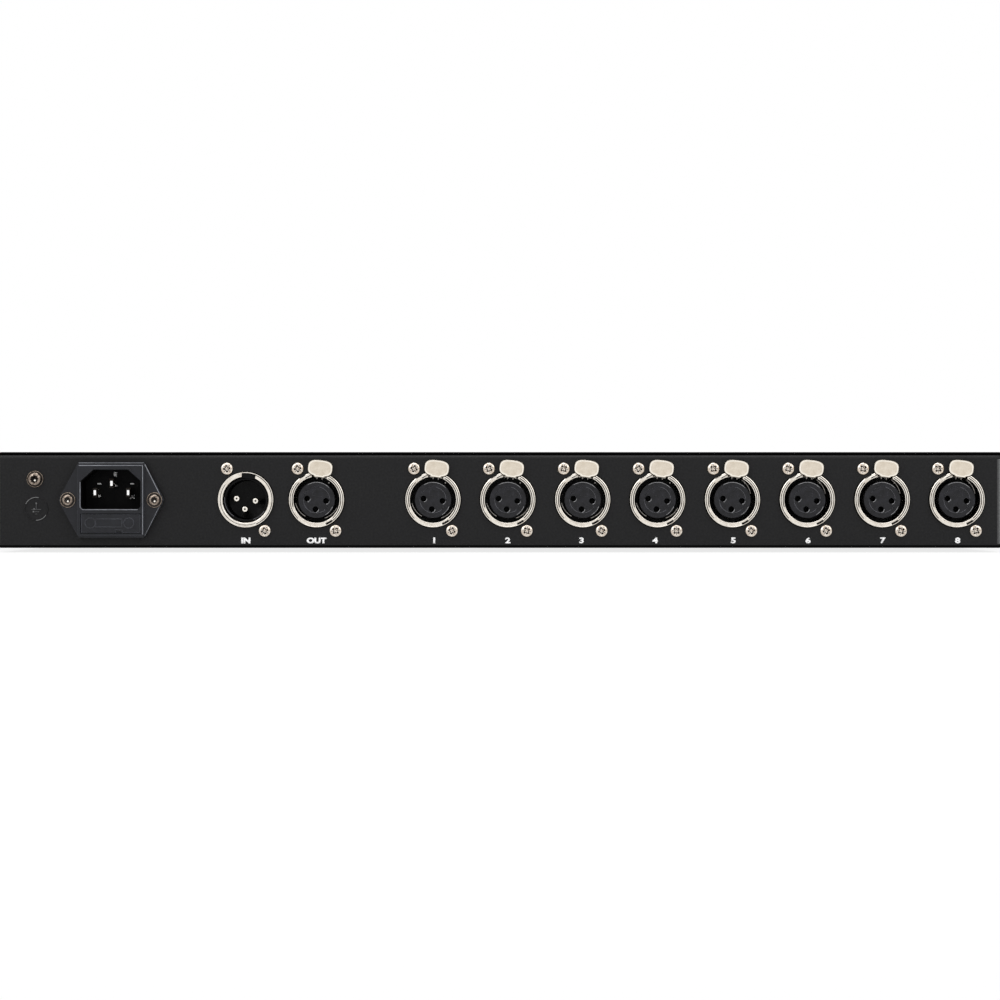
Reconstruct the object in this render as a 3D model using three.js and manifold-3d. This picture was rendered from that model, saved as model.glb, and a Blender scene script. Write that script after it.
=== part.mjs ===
import * as THREE from 'three';
import { mergeVertices } from 'three/addons/utils/BufferGeometryUtils.js';
import Module from 'manifold-3d';

const wasm = await Module();
wasm.setup();

// An eight-way signal splitter in a 19-inch rack housing one unit high. All lengths are millimetres.
// It is drawn with X to the right as its connector wall is read, Y from the outer face of that wall
// into the box, and Z up from half the height of the body. The last lines set its origin.

// Fits and cuts
const runGap = 0.3; // between pieces that turn, slide or drop in
const overrun = 1; // how far a cut runs past the face that it opens
const degree = Math.PI / 180;

// Body: a folded tray under a folded cover
const bodyWidth = 423.6;
const bodyHeight = 40.4;
const bodyDepth = 138;
const traySheet = 1.2;
const coverSheet = 1;
const bendInside = 0.5;
const coverSetback = 1.8;
const topFlange = 12;
const sideFlangeHeight = 18;
const sideFlangeInset = 8;

// Front panel with its rack ears
const panelWidth = 482.6;
const panelHeight = 44;
const panelThickness = 2.5;
const panelCorner = 1;
const slotInset = 8.75;
const slotSpacingZ = 31.75;
const slotLength = 10.3;
const slotHeight = 6.8;

// Pan-head screws: cover, panel, connectors
const coverScrew = { head: 2.75, rise: 1.7, shank: 1.5, length: 5 };
const panelScrew = { head: 3.5, rise: 2, shank: 1.9, length: 6.5 };
const connectorScrew = { head: 2.52, rise: 1.5, shank: 1.4, length: 1.6 };
const coverScrewInset = 26;
const coverScrewHeight = 12;
const panelScrewInset = 10.5;
const panelScrewSpacing = 28;

// Connectors: places along the wall and the turn of their fixing holes
const connectorHeight = 0.1;
const connectorTurn = 7 * degree;
const inputPlace = -107;
const linkPlace = -77.2;
const firstOutputPlace = -28.2;
const outputPitch = 31.5;
const outputCount = 8;

// Connector shells, die-cast
const ringRadius = 11.8;
const ringProud = 1.6;
const ringChamfer = 0.5;
const boreRadius = 9.65;
const shellDepth = 20;
const flangeWidth = 26;
const flangeHeight = 31;
const flangeThickness = 1.8;
const flangeCorner = 3;
const fixingAcross = 19;
const fixingUp = 24;
const scoopRadius = 4.3;
const scoopFloor = 0.6;

// Socket inserts
const insertRadius = 7.7;
const insertRecess = 1;
const insertBase = 4;
const contactCircle = 4;
const contactHole = 1.35;
const contactHoleDepth = 9;

// Push latches
const latchTurn = 8 * degree;
const armWidth = 5.2;
const armThickness = 1;
const armRise = 0.15;
const pivotDepth = 9;
const pivotPin = 0.6;
const pivotPinLength = 8;
const tabThickness = 1.2;
const tabWidth = 10.3;
const tabReach = 16.7;
const tabNeck = 10.7;
const tabCrown = 0.5;
const hookWidth = 3.6;
const hookDrop = 0.8;
const hookPlace = 1.8;
const hookLength = 1.8;

// Input connector: a keyed cup round three pins
const keywayWidth = 5.6;
const keywayWall = 0.55;
const keywayDepth = 5;
const cupRadius = 8.3;
const cupRecess = 2.1;
const cupDepth = 14;
const pinRadius = 1.2;
const pinRecess = 2.4;
const pinCone = 0.7;

// Mains inlet
const inletPlace = -163.4;
const inletReach = 43.8;
const inletTop = 27.3;
const inletHeight = 31.8;
const inletFlange = 2.5;
const inletEndRadius = 3.4;
const blockWidth = 28;
const blockHeight = 30.2;
const blockProud = 4.1;
const inletBodyWidth = 27.2;
const inletBodyHeight = 29.2;
const inletBodyDepth = 17;
const socketWidth = 25.1;
const socketHeight = 16.6;
const socketRise = 4.5;
const socketDepth = 15.6;
const socketChamferAcross = 5.3;
const socketChamferUp = 4.7;
const socketCorner = 1.5;
const bladeThick = 2;
const bladeTall = 4;
const bladeSpacing = 14;
const bladeRise = 3.1;
const earthBladeRise = 7;
const bladeRecess = 2.6;
const lugThick = 0.8;
const lugTall = 4.8;
const lugLength = 8;
const inletScrewSpacing = 36.4;
const inletScrew = {
  head: 2.3,
  rise: 1.3,
  shank: 1.4,
  length: 8,
  washer: 3.15,
  washerRise: 0.7,
  nut: 3,
  nutRise: 2.4,
};

// Fuse drawer and fuse
const drawerWidth = 25;
const drawerHeight = 7.8;
const drawerDrop = 9.9;
const drawerFace = 2;
const drawerDepth = 18;
const drawerFloor = 1;
const prySlotPlace = 3.4;
const prySlotWidth = 2.6;
const prySlotHeight = 1.2;
const fuseRadius = 2.6;
const fuseLength = 20;
const fuseCap = 5;
const fuseWaist = 0.2;
const fusePlace = 11;

// Earth screw
const earthPlace = -195.7;
const earthHeight = 8.8;
const earthScrew = {
  head: 2.8,
  rise: 2.4,
  shank: 1.9,
  length: 9,
  washer: 3.5,
  washerRise: 0.8,
  nut: 3.8,
  nutRise: 3.2,
};

// Power switch on the front
const switchPlace = -184;
const switchBezelWidth = 15;
const switchBezelHeight = 21;
const switchBezelProud = 1.8;
const switchBezelCorner = 1.5;
const switchBodyWidth = 12.8;
const switchBodyHeight = 18.8;
const switchBodyDepth = 14;
const switchPocketDepth = 9;
const switchWall = 1.2;
const rockerTurn = 10 * degree;
const rockerPivotDepth = 1.6;
const rockerPivot = 0.9;
const rockerMiddle = 1.9;
const rockerFoot = 3;
const rockerEndDepth = 1.2;
const rockerEndGap = 0.8;

// Boards inside
const boardThickness = 1.6;
const boardStandoff = 6;
const standoffRadius = 3;
const standoffInset = 6;
const connectorBoardHeight = 32;
const connectorBoardOverhang = 14;
const mainBoardDepth = 74;
const headerWidth = 16;
const headerHeight = 6;
const headerLength = 9;
const isolatorWidth = 19;
const isolatorDepth = 10;
const isolatorHeight = 10;
const driverWidth = 6;
const driverDepth = 10;
const driverHeight = 3.4;
const capacitorRadius = 4;
const capacitorHeight = 12;
const channelStep = 15;
const powerBoardWidth = 76;
const powerBoardClearance = 14.5;
const powerBoardStart = 42;
const powerBoardPlace = -166;
const reservoirRadius = 6.3;
const reservoirHeight = 22;
const coreWidth = 44;
const coreDepth = 15;
const coreHeight = 25;
const coilWidth = 28;
const coilDepth = 31;
const coilHeight = 17;
const coilCorner = 5;
const boardMargin = 1;

// Indicator board
const lampRadius = 1.5;
const lampProud = 1.3;
const lampRise = 9;
const lampBoardHeight = 12;
const lampBoardOverhang = 8;
const lampBoardPost = 4;
const lampPostRadius = 2.2;
const powerLampPlace = -150;

// Facets
const ringSteps = 16;
const insertSteps = 14;
const screwSteps = 6;
const holeSteps = 6;
const boltSteps = 10;
const nutSides = 6;
const roundSteps = 2;

// Worked out from the sizes above
const bodyHalf = bodyHeight / 2;
const sideHalf = bodyWidth / 2;
const trayTop = bodyHalf - coverSheet - runGap;
const trayHalf = sideHalf - coverSheet - runGap;
const trayBend = bendInside + traySheet;
const coverBend = bendInside + coverSheet;
const floorTop = -bodyHalf + traySheet;
const panelFace = bodyDepth + panelThickness;
const wallInside = bodyDepth - traySheet;
const armBottom = boreRadius + armRise;
const armTop = armBottom + armThickness;
const armMiddle = armBottom + armThickness / 2;
const tabBack = (tabReach - armMiddle) * Math.sin(latchTurn) + runGap;
const tabFront = tabBack + tabThickness;
const latchLift = (pivotDepth + tabFront) * Math.sin(latchTurn);
const latchSlot = armWidth + 2 * runGap;
const latchHeadroom = armTop + latchLift + runGap;
const boardFace = shellDepth + runGap;
const mainBoardStart = boardFace + boardThickness + headerLength;
const mainBoardEnd = mainBoardStart + mainBoardDepth;
const boardUnderside = floorTop + boardStandoff;
const boardTop = boardUnderside + boardThickness;
const mainBoardLeft = firstOutputPlace - outputPitch;
const mainBoardRight = firstOutputPlace + outputPitch * (outputCount - 1) + headerWidth / 2;
const powerBoardLeft = powerBoardPlace - powerBoardWidth / 2;
const powerBoardRight = powerBoardPlace + powerBoardWidth / 2;
const powerBoardEnd = panelFace - switchBodyDepth - powerBoardClearance;
const lampBoardFace = wallInside - lampBoardPost;
const drawerStart = -blockProud;
const outputPlaces = Array.from({ length: outputCount }, (_, i) => firstOutputPlace + i * outputPitch);

// Directions that an outline's own X, Y and thickness take in the model
const lengthways = new THREE.Matrix4().makeBasis(
  new THREE.Vector3(0, 1, 0),
  new THREE.Vector3(0, 0, 1),
  new THREE.Vector3(1, 0, 0),
);
const inwards = new THREE.Matrix4().makeBasis(
  new THREE.Vector3(1, 0, 0),
  new THREE.Vector3(0, 0, 1),
  new THREE.Vector3(0, -1, 0),
);

// Solids from three.js geometry, and back

function toSolid(geometry) {
  geometry.deleteAttribute('normal');
  geometry.deleteAttribute('uv');
  const merged = mergeVertices(geometry);
  const vertProperties = new Float32Array(merged.attributes.position.array);
  const triVerts = new Uint32Array(merged.index.array);
  return new wasm.Manifold(new wasm.Mesh({ numProp: 3, vertProperties, triVerts }));
}

function toGeometry(solid) {
  const mesh = solid.getMesh();
  const geometry = new THREE.BufferGeometry();
  geometry.setAttribute('position', new THREE.BufferAttribute(mesh.vertProperties, 3));
  geometry.setIndex(new THREE.BufferAttribute(mesh.triVerts, 1));
  geometry.computeVertexNormals();
  return geometry;
}

function join(first, ...others) {
  return others.reduce((sum, solid) => sum.add(solid), first);
}

function cut(body, ...tools) {
  return tools.reduce((rest, tool) => rest.subtract(tool), body);
}

// Basic forms: a block between two corners, rounds along each axis, profiles and plates

function block(left, right, near, far, bottom, top) {
  const geometry = new THREE.BoxGeometry(right - left, far - near, top - bottom);
  geometry.translate((left + right) / 2, (near + far) / 2, (bottom + top) / 2);
  return toSolid(geometry);
}

function roundInwards(radius, near, far, x, z, steps) {
  const geometry = new THREE.CylinderGeometry(radius, radius, far - near, steps);
  geometry.translate(x, (near + far) / 2, z);
  return toSolid(geometry);
}

// A hole with flats that stay a running gap clear of what passes through it
function holeInwards(radius, near, far, x, z) {
  return roundInwards((radius + runGap) / Math.cos(Math.PI / holeSteps), near, far, x, z, holeSteps);
}

function holeAcross(radius, left, right, y, z) {
  return roundAcross((radius + runGap) / Math.cos(Math.PI / holeSteps), left, right, y, z, holeSteps);
}

function roundAcross(radius, left, right, y, z, steps) {
  const geometry = new THREE.CylinderGeometry(radius, radius, right - left, steps);
  geometry.rotateZ(Math.PI / 2);
  geometry.translate((left + right) / 2, y, z);
  return toSolid(geometry);
}

function roundUpwards(radius, bottom, top, x, y, steps) {
  const geometry = new THREE.CylinderGeometry(radius, radius, top - bottom, steps);
  geometry.rotateX(Math.PI / 2);
  geometry.translate(x, y, (bottom + top) / 2);
  return toSolid(geometry);
}

function turned(profile, steps) {
  const points = profile.map(([radius, y]) => new THREE.Vector2(radius, y));
  return toSolid(new THREE.LatheGeometry(points, steps));
}

function extruded(outline, depth) {
  return new THREE.ExtrudeGeometry(outline, { depth, bevelEnabled: false, curveSegments: roundSteps });
}

function plateInwards(outline, near, far) {
  const geometry = extruded(outline, far - near);
  geometry.applyMatrix4(inwards);
  geometry.translate(0, far, 0);
  return toSolid(geometry);
}

function barAcross(outline, left, right) {
  const geometry = extruded(outline, right - left);
  geometry.applyMatrix4(lengthways);
  geometry.translate(left, 0, 0);
  return toSolid(geometry);
}

function roundedRectangle(left, right, bottom, top, radius) {
  const outline = new THREE.Shape();
  outline.absarc(right - radius, bottom + radius, radius, -Math.PI / 2, 0, false);
  outline.absarc(right - radius, top - radius, radius, 0, Math.PI / 2, false);
  outline.absarc(left + radius, top - radius, radius, Math.PI / 2, Math.PI, false);
  outline.absarc(left + radius, bottom + radius, radius, Math.PI, 1.5 * Math.PI, false);
  outline.closePath();
  return outline;
}

function material(color, roughness, metalness) {
  return new THREE.MeshStandardMaterial({ color, roughness, metalness, flatShading: true });
}

const powderCoat = material('#2a2a2c', 0.6, 0.3);
const nickel = material('#ddd5c9', 0.28, 1);
const blackInsert = material('#26262a', 0.5, 0);
const blackPlastic = material('#303036', 0.45, 0);
const tinnedBrass = material('#d8d2c4', 0.3, 1);
const zincPlate = material('#b9b2a6', 0.35, 1);
const blackSteel = material('#1c1c1e', 0.45, 0.6);
const circuitBoard = material('#1f5a38', 0.5, 0);
const laminations = material('#6d6a66', 0.5, 0.8);
const fuseGlass = material('#cfd8d6', 0.1, 0);

// A pan-head screw that points inwards, its head's seat at depth zero on the model's Y axis
function screwInwards(screw) {
  const domeShare = 0.62;
  const rimShare = 0.45;
  return turned(
    [
      [0, -screw.rise],
      [screw.head * domeShare, -screw.rise],
      [screw.head, -screw.rise * rimShare],
      [screw.head, 0],
      [screw.shank, 0],
      [screw.shank, screw.length],
      [0, screw.length],
    ],
    screwSteps,
  );
}

// A screw on a plain washer, with its nut run up against the far side of what it grips
function boltInwards(screw, grip) {
  const domeShare = 0.62;
  const rimShare = 0.45;
  const body = turned(
    [
      [0, -screw.washerRise - screw.rise],
      [screw.head * domeShare, -screw.washerRise - screw.rise],
      [screw.head, -screw.washerRise - screw.rise * rimShare],
      [screw.head, -screw.washerRise],
      [screw.washer, -screw.washerRise],
      [screw.washer, 0],
      [screw.shank, 0],
      [screw.shank, screw.length],
      [0, screw.length],
    ],
    boltSteps,
  );
  return join(body, roundInwards(screw.nut, grip, grip + screw.nutRise, 0, 0, nutSides));
}

// Tray

function trayFold() {
  const outline = roundedRectangle(0, bodyDepth, -bodyHalf, trayTop, trayBend);
  outline.holes.push(roundedRectangle(traySheet, wallInside, floorTop, trayTop - traySheet, bendInside));
  const tube = barAcross(outline, -trayHalf, trayHalf);
  const lidOpening = block(
    -trayHalf - overrun,
    trayHalf + overrun,
    topFlange,
    bodyDepth - topFlange,
    trayTop - traySheet - overrun,
    trayTop + overrun,
  );
  return cut(tube, lidOpening);
}

function sideFlange(side) {
  const inner = side * (trayHalf - traySheet);
  const outer = side * trayHalf;
  const flange = block(
    Math.min(inner, outer),
    Math.max(inner, outer),
    sideFlangeInset,
    bodyDepth - sideFlangeInset,
    -bodyHalf,
    -bodyHalf + sideFlangeHeight,
  );
  return cut(flange, ...coverScrewHoles(outer - traySheet - overrun, outer + traySheet + overrun));
}

function coverScrewHoles(left, right) {
  return coverScrewPlaces().map((y) => holeAcross(coverScrew.shank, left, right, y, coverScrewLevel()));
}

function coverScrewPlaces() {
  return [coverScrewInset, bodyDepth - coverScrewInset];
}

function coverScrewLevel() {
  return -bodyHalf + coverScrewHeight;
}

function boardPosts(left, right, near, far) {
  const corners = [
    [left + standoffInset, near + standoffInset],
    [right - standoffInset, near + standoffInset],
    [left + standoffInset, far - standoffInset],
    [right - standoffInset, far - standoffInset],
  ];
  return corners.map(([x, y]) => roundUpwards(standoffRadius, floorTop, boardUnderside, x, y, holeSteps));
}

function lampPosts() {
  return [powerLampPlace, inputPlace, outputPlaces[outputCount - 1]].map((x) =>
    roundInwards(lampPostRadius, lampBoardFace, wallInside, x + lampBoardOverhang / 2, lampRise, holeSteps),
  );
}

function connectorCutouts(x, radius, withLatch) {
  const near = -overrun;
  const far = traySheet + overrun;
  const tools = [
    roundInwards(radius + runGap, near, far, 0, 0, ringSteps),
    ...fixingPlaces().map(([across, up]) => holeInwards(connectorScrew.shank, near, far, across, up)),
  ];
  if (withLatch) {
    tools.push(block(-latchSlot / 2, latchSlot / 2, near, far, 0, latchHeadroom));
  }
  const place = new THREE.Matrix4().makeRotationY(connectorTurn).setPosition(x, 0, connectorHeight);
  return tools.map((tool) => tool.transform(place.elements));
}

function inletCutouts() {
  const halfWidth = inletBodyWidth / 2 + runGap;
  const halfHeight = inletBodyHeight / 2 + runGap;
  const near = -overrun;
  const far = traySheet + overrun;
  const screwHoles = [-1, 1].map((side) => {
    const x = inletPlace + (side * inletScrewSpacing) / 2;
    return holeInwards(inletScrew.shank, near, far, x, 0);
  });
  return [
    block(inletPlace - halfWidth, inletPlace + halfWidth, near, far, -halfHeight, halfHeight),
    ...screwHoles,
    holeInwards(earthScrew.shank, near, far, earthPlace, earthHeight),
  ];
}

// The holes that the front wall and the front panel share
function frontCutouts(near, far) {
  const halfWidth = switchBodyWidth / 2 + runGap;
  const halfHeight = switchBodyHeight / 2 + runGap;
  const lamps = lampPlaces().map((x) => holeInwards(lampRadius, near, far, x, lampRise));
  const screws = panelScrewPlaces().map(([x, z]) => holeInwards(panelScrew.shank, near, far, x, z));
  const opening = block(switchPlace - halfWidth, switchPlace + halfWidth, near, far, -halfHeight, halfHeight);
  return [opening, ...lamps, ...screws];
}

function lampPlaces() {
  return [powerLampPlace, inputPlace, ...outputPlaces];
}

function panelScrewPlaces() {
  const x = sideHalf - panelScrewInset;
  const z = panelScrewSpacing / 2;
  return [[-x, z], [x, z], [-x, -z], [x, -z]];
}

function tray() {
  const body = join(
    trayFold(),
    sideFlange(-1),
    sideFlange(1),
    ...boardPosts(mainBoardLeft, mainBoardRight, mainBoardStart, mainBoardEnd),
    ...boardPosts(powerBoardLeft, powerBoardRight, powerBoardStart, powerBoardEnd),
    ...lampPosts(),
  );
  return cut(
    body,
    ...connectorCutouts(inputPlace, ringRadius, false),
    ...[linkPlace, ...outputPlaces].flatMap((x) => connectorCutouts(x, ringRadius, true)),
    ...inletCutouts(),
    ...frontCutouts(wallInside - overrun, bodyDepth + overrun),
  );
}

// Cover: a top and two sides folded from one sheet
function cover() {
  const outline = new THREE.Shape();
  const inner = sideHalf - coverSheet;
  const underside = bodyHalf - coverSheet;
  outline.moveTo(-sideHalf, -bodyHalf);
  outline.lineTo(-inner, -bodyHalf);
  outline.absarc(-inner + bendInside, underside - bendInside, bendInside, Math.PI, Math.PI / 2, true);
  outline.absarc(inner - bendInside, underside - bendInside, bendInside, Math.PI / 2, 0, true);
  outline.lineTo(inner, -bodyHalf);
  outline.lineTo(sideHalf, -bodyHalf);
  outline.absarc(sideHalf - coverBend, bodyHalf - coverBend, coverBend, 0, Math.PI / 2, false);
  outline.absarc(-sideHalf + coverBend, bodyHalf - coverBend, coverBend, Math.PI / 2, Math.PI, false);
  outline.closePath();
  const fold = plateInwards(outline, coverSetback, bodyDepth);
  return cut(fold, ...coverScrewHoles(-sideHalf - overrun, sideHalf + overrun));
}

// Front panel with a rack ear at each end
function frontPanel() {
  const half = panelWidth / 2;
  const plate = plateInwards(
    roundedRectangle(-half, half, -panelHeight / 2, panelHeight / 2, panelCorner),
    bodyDepth,
    panelFace,
  );
  const slots = [-1, 1].flatMap((side) =>
    [-1, 1].map((up) => {
      const x = side * (panelWidth / 2 - slotInset);
      const z = (up * slotSpacingZ) / 2;
      const outline = roundedRectangle(
        x - slotLength / 2,
        x + slotLength / 2,
        z - slotHeight / 2,
        z + slotHeight / 2,
        slotHeight / 2,
      );
      return plateInwards(outline, bodyDepth - overrun, panelFace + overrun);
    }),
  );
  return cut(plate, ...slots, ...frontCutouts(bodyDepth - overrun, panelFace + overrun));
}

// Connector shells

function shellFlange() {
  return plateInwards(
    roundedRectangle(-flangeWidth / 2, flangeWidth / 2, -flangeHeight / 2, flangeHeight / 2, flangeCorner),
    traySheet,
    traySheet + flangeThickness,
  );
}

function fixingPlaces() {
  return [-1, 1].map((side) => [(side * fixingAcross) / 2, (-side * fixingUp) / 2]);
}

// The ring, its mounting flange behind the wall and its two screws, with room for their heads
function shellBody() {
  const barrel = turned(
    [
      [0, -ringProud],
      [ringRadius - ringChamfer, -ringProud],
      [ringRadius, -ringProud + ringChamfer],
      [ringRadius, shellDepth],
      [0, shellDepth],
    ],
    ringSteps,
  );
  const scoops = fixingPlaces().map(([x, z]) =>
    roundInwards(scoopRadius, -ringProud - overrun, -scoopFloor, x, z, screwSteps),
  );
  const screws = fixingPlaces().map(([x, z]) => screwInwards(connectorScrew).translate(x, 0, z));
  const bore = roundInwards(boreRadius, -ringProud - overrun, shellDepth + overrun, 0, 0, ringSteps);
  return cut(join(cut(barrel, ...scoops), shellFlange(), ...screws), bore);
}

function socketShell() {
  const pinSeat = pivotPin + runGap;
  const slot = block(
    -latchSlot / 2,
    latchSlot / 2,
    -ringProud - overrun,
    pivotDepth + pinSeat,
    0,
    latchHeadroom,
  );
  const pinNotch = block(
    -pivotPinLength / 2 - runGap,
    pivotPinLength / 2 + runGap,
    pivotDepth - pinSeat,
    pivotDepth + pinSeat,
    armMiddle - pinSeat,
    ringRadius + overrun,
  );
  const tabSeat = plateInwards(tabOutline(runGap), -ringProud - overrun, -tabBack + runGap);
  return cut(shellBody(), slot, pinNotch, tabSeat);
}

function inputShell() {
  const keyway = block(
    -keywayWidth / 2,
    keywayWidth / 2,
    -ringProud - overrun,
    -ringProud + keywayDepth,
    0,
    ringRadius - keywayWall,
  );
  return cut(shellBody(), keyway);
}

// Socket insert: a face with three contact holes on a base that closes the bore

function contactPlaces() {
  return [
    [-contactCircle, 0],
    [contactCircle, 0],
    [0, -contactCircle],
  ];
}

function socketInsert() {
  const face = -ringProud + insertRecess;
  const baseRadius = boreRadius - runGap;
  const body = turned(
    [
      [0, face],
      [insertRadius, face],
      [insertRadius, shellDepth - insertBase],
      [baseRadius, shellDepth - insertBase],
      [baseRadius, shellDepth],
      [0, shellDepth],
    ],
    insertSteps,
  );
  const holes = contactPlaces().map(([x, z]) =>
    roundInwards(contactHole, face - overrun, face + contactHoleDepth, x, z, holeSteps),
  );
  return cut(body, ...holes);
}

// Input insert: a cup that the pins stand in
function cupInsert() {
  const rim = -ringProud + cupRecess;
  const floor = -ringProud + cupDepth;
  const outer = boreRadius - runGap;
  const body = turned(
    [
      [0, floor],
      [cupRadius, floor],
      [cupRadius, rim],
      [outer, rim],
      [outer, shellDepth],
      [0, shellDepth],
    ],
    insertSteps,
  );
  const holes = contactPlaces().map(([x, z]) =>
    holeInwards(pinRadius, floor - overrun, shellDepth + overrun, x, z),
  );
  return cut(body, ...holes);
}

function inputPin() {
  const tip = -ringProud + pinRecess;
  const tipShare = 0.5;
  return turned(
    [
      [0, tip],
      [pinRadius * tipShare, tip],
      [pinRadius, tip + pinCone],
      [pinRadius, shellDepth],
      [0, shellDepth],
    ],
    screwSteps,
  );
}

// Push latch: a thumb tab in front of the wall, on an arm with a hook and a pivot pin

// The tab's outline, grown where it is the seat that the ring leaves for the tab
function tabOutline(grow) {
  const half = tabWidth / 2 + grow;
  const neck = armWidth / 2 + grow;
  const base = tabNeck - grow;
  const shoulderShare = 0.42;
  const cheekShare = 0.58;
  const browShare = 0.45;
  const brow = tabReach - tabCrown + grow;
  const head = tabReach - tabNeck;
  const shoulder = tabNeck + head * shoulderShare;
  const cheek = tabNeck + head * cheekShare;
  const outline = new THREE.Shape();
  outline.moveTo(neck, armBottom);
  outline.lineTo(neck, base);
  outline.quadraticCurveTo(half, base, half, shoulder);
  outline.lineTo(half, cheek);
  outline.quadraticCurveTo(half, brow, half * browShare, brow);
  outline.quadraticCurveTo(0, tabReach + grow, -half * browShare, brow);
  outline.quadraticCurveTo(-half, brow, -half, cheek);
  outline.lineTo(-half, shoulder);
  outline.quadraticCurveTo(-half, base, -neck, base);
  outline.lineTo(-neck, armBottom);
  outline.closePath();
  return outline;
}

function hook() {
  const outline = new THREE.Shape();
  outline.moveTo(hookPlace, armMiddle);
  outline.lineTo(hookPlace, armBottom);
  outline.lineTo(hookPlace + hookLength, armBottom - hookDrop);
  outline.lineTo(hookPlace + hookLength, armMiddle);
  outline.closePath();
  return barAcross(outline, -hookWidth / 2, hookWidth / 2);
}

function latch() {
  const tab = plateInwards(tabOutline(0), -tabFront, -tabBack);
  const arm = block(-armWidth / 2, armWidth / 2, -tabFront, pivotDepth, armBottom, armTop);
  const pinHalf = pivotPinLength / 2;
  const pin = roundAcross(pivotPin, -pinHalf, pinHalf, pivotDepth, armMiddle, screwSteps);
  return join(tab, arm, hook(), pin);
}

// Mains inlet

// A plate that narrows to a rounded point at each end
function inletOutline() {
  const shoulder = inletTop / 2;
  const up = inletHeight / 2;
  const centre = inletReach / 2 - inletEndRadius;
  const run = Math.hypot(centre - shoulder, up);
  const lean = Math.atan2(up, centre - shoulder) + Math.acos(inletEndRadius / run);
  const swing = Math.PI - lean;
  const outline = new THREE.Shape();
  outline.moveTo(shoulder, -up);
  outline.absarc(centre, 0, inletEndRadius, -swing, swing, false);
  outline.lineTo(shoulder, up);
  outline.lineTo(-shoulder, up);
  outline.absarc(-centre, 0, inletEndRadius, Math.PI - swing, Math.PI + swing, false);
  outline.lineTo(-shoulder, -up);
  outline.closePath();
  return outline;
}

function socketOutline() {
  const half = socketWidth / 2;
  const top = socketRise + socketHeight / 2;
  const bottom = socketRise - socketHeight / 2;
  const outline = new THREE.Shape();
  outline.absarc(half - socketCorner, bottom + socketCorner, socketCorner, -Math.PI / 2, 0, false);
  outline.lineTo(half, top - socketChamferUp);
  outline.lineTo(half - socketChamferAcross, top);
  outline.lineTo(-half + socketChamferAcross, top);
  outline.lineTo(-half, top - socketChamferUp);
  outline.absarc(-half + socketCorner, bottom + socketCorner, socketCorner, Math.PI, 1.5 * Math.PI, false);
  outline.closePath();
  return outline;
}

function bladePlaces() {
  return {
    line: [-bladeSpacing / 2, bladeRise],
    neutral: [bladeSpacing / 2, bladeRise],
    earth: [0, earthBladeRise],
  };
}

function inletHousing() {
  const socketFloor = drawerStart + socketDepth;
  const body = join(
    plateInwards(inletOutline(), -inletFlange, 0),
    block(-blockWidth / 2, blockWidth / 2, -blockProud, -inletFlange, -blockHeight / 2, blockHeight / 2),
    block(
      -inletBodyWidth / 2,
      inletBodyWidth / 2,
      -inletFlange,
      inletBodyDepth,
      -inletBodyHeight / 2,
      inletBodyHeight / 2,
    ),
  );
  const well = block(
    -drawerWidth / 2 - runGap,
    drawerWidth / 2 + runGap,
    drawerStart - overrun,
    drawerStart + drawerDepth + runGap,
    -drawerDrop - drawerHeight / 2 - runGap,
    -drawerDrop + drawerHeight / 2 + runGap,
  );
  const bladeSlots = Object.values(bladePlaces()).map(([x, z]) =>
    block(
      x - bladeThick / 2 - runGap,
      x + bladeThick / 2 + runGap,
      socketFloor - overrun,
      inletBodyDepth + overrun,
      z - lugTall / 2 - runGap,
      z + lugTall / 2 + runGap,
    ),
  );
  const screwHoles = [-1, 1].map((side) =>
    holeInwards(inletScrew.shank, -inletFlange - overrun, overrun, (side * inletScrewSpacing) / 2, 0),
  );
  const socket = plateInwards(socketOutline(), drawerStart - overrun, socketFloor);
  return cut(body, socket, well, ...bladeSlots, ...screwHoles);
}

function inletContact(x, z) {
  const tip = drawerStart + bladeRecess;
  const blade = block(
    x - bladeThick / 2,
    x + bladeThick / 2,
    tip,
    inletBodyDepth,
    z - bladeTall / 2,
    z + bladeTall / 2,
  );
  const lug = block(
    x - lugThick / 2,
    x + lugThick / 2,
    inletBodyDepth - overrun,
    inletBodyDepth + lugLength,
    z - lugTall / 2,
    z + lugTall / 2,
  );
  return join(blade, lug);
}

function fuseDrawer() {
  const top = -drawerDrop + drawerHeight / 2;
  const bottom = -drawerDrop - drawerHeight / 2;
  const body = block(-drawerWidth / 2, drawerWidth / 2, drawerStart, drawerStart + drawerDepth, bottom, top);
  const pocketHalf = fuseLength / 2 + runGap;
  const cradle = fuseRadius + runGap;
  const fusePocket = block(
    -pocketHalf,
    pocketHalf,
    drawerStart + fusePlace - cradle,
    drawerStart + fusePlace + cradle,
    bottom + drawerFloor,
    top + overrun,
  );
  const sparePocket = block(
    -pocketHalf,
    pocketHalf,
    drawerStart + drawerFace,
    drawerStart + fusePlace - cradle - drawerFloor,
    bottom + drawerFloor,
    top + overrun,
  );
  const prySlot = block(
    prySlotPlace - prySlotWidth / 2,
    prySlotPlace + prySlotWidth / 2,
    drawerStart - overrun,
    drawerStart + drawerFace / 2,
    bottom - overrun,
    bottom + prySlotHeight,
  );
  return cut(body, fusePocket, sparePocket, prySlot);
}

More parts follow.
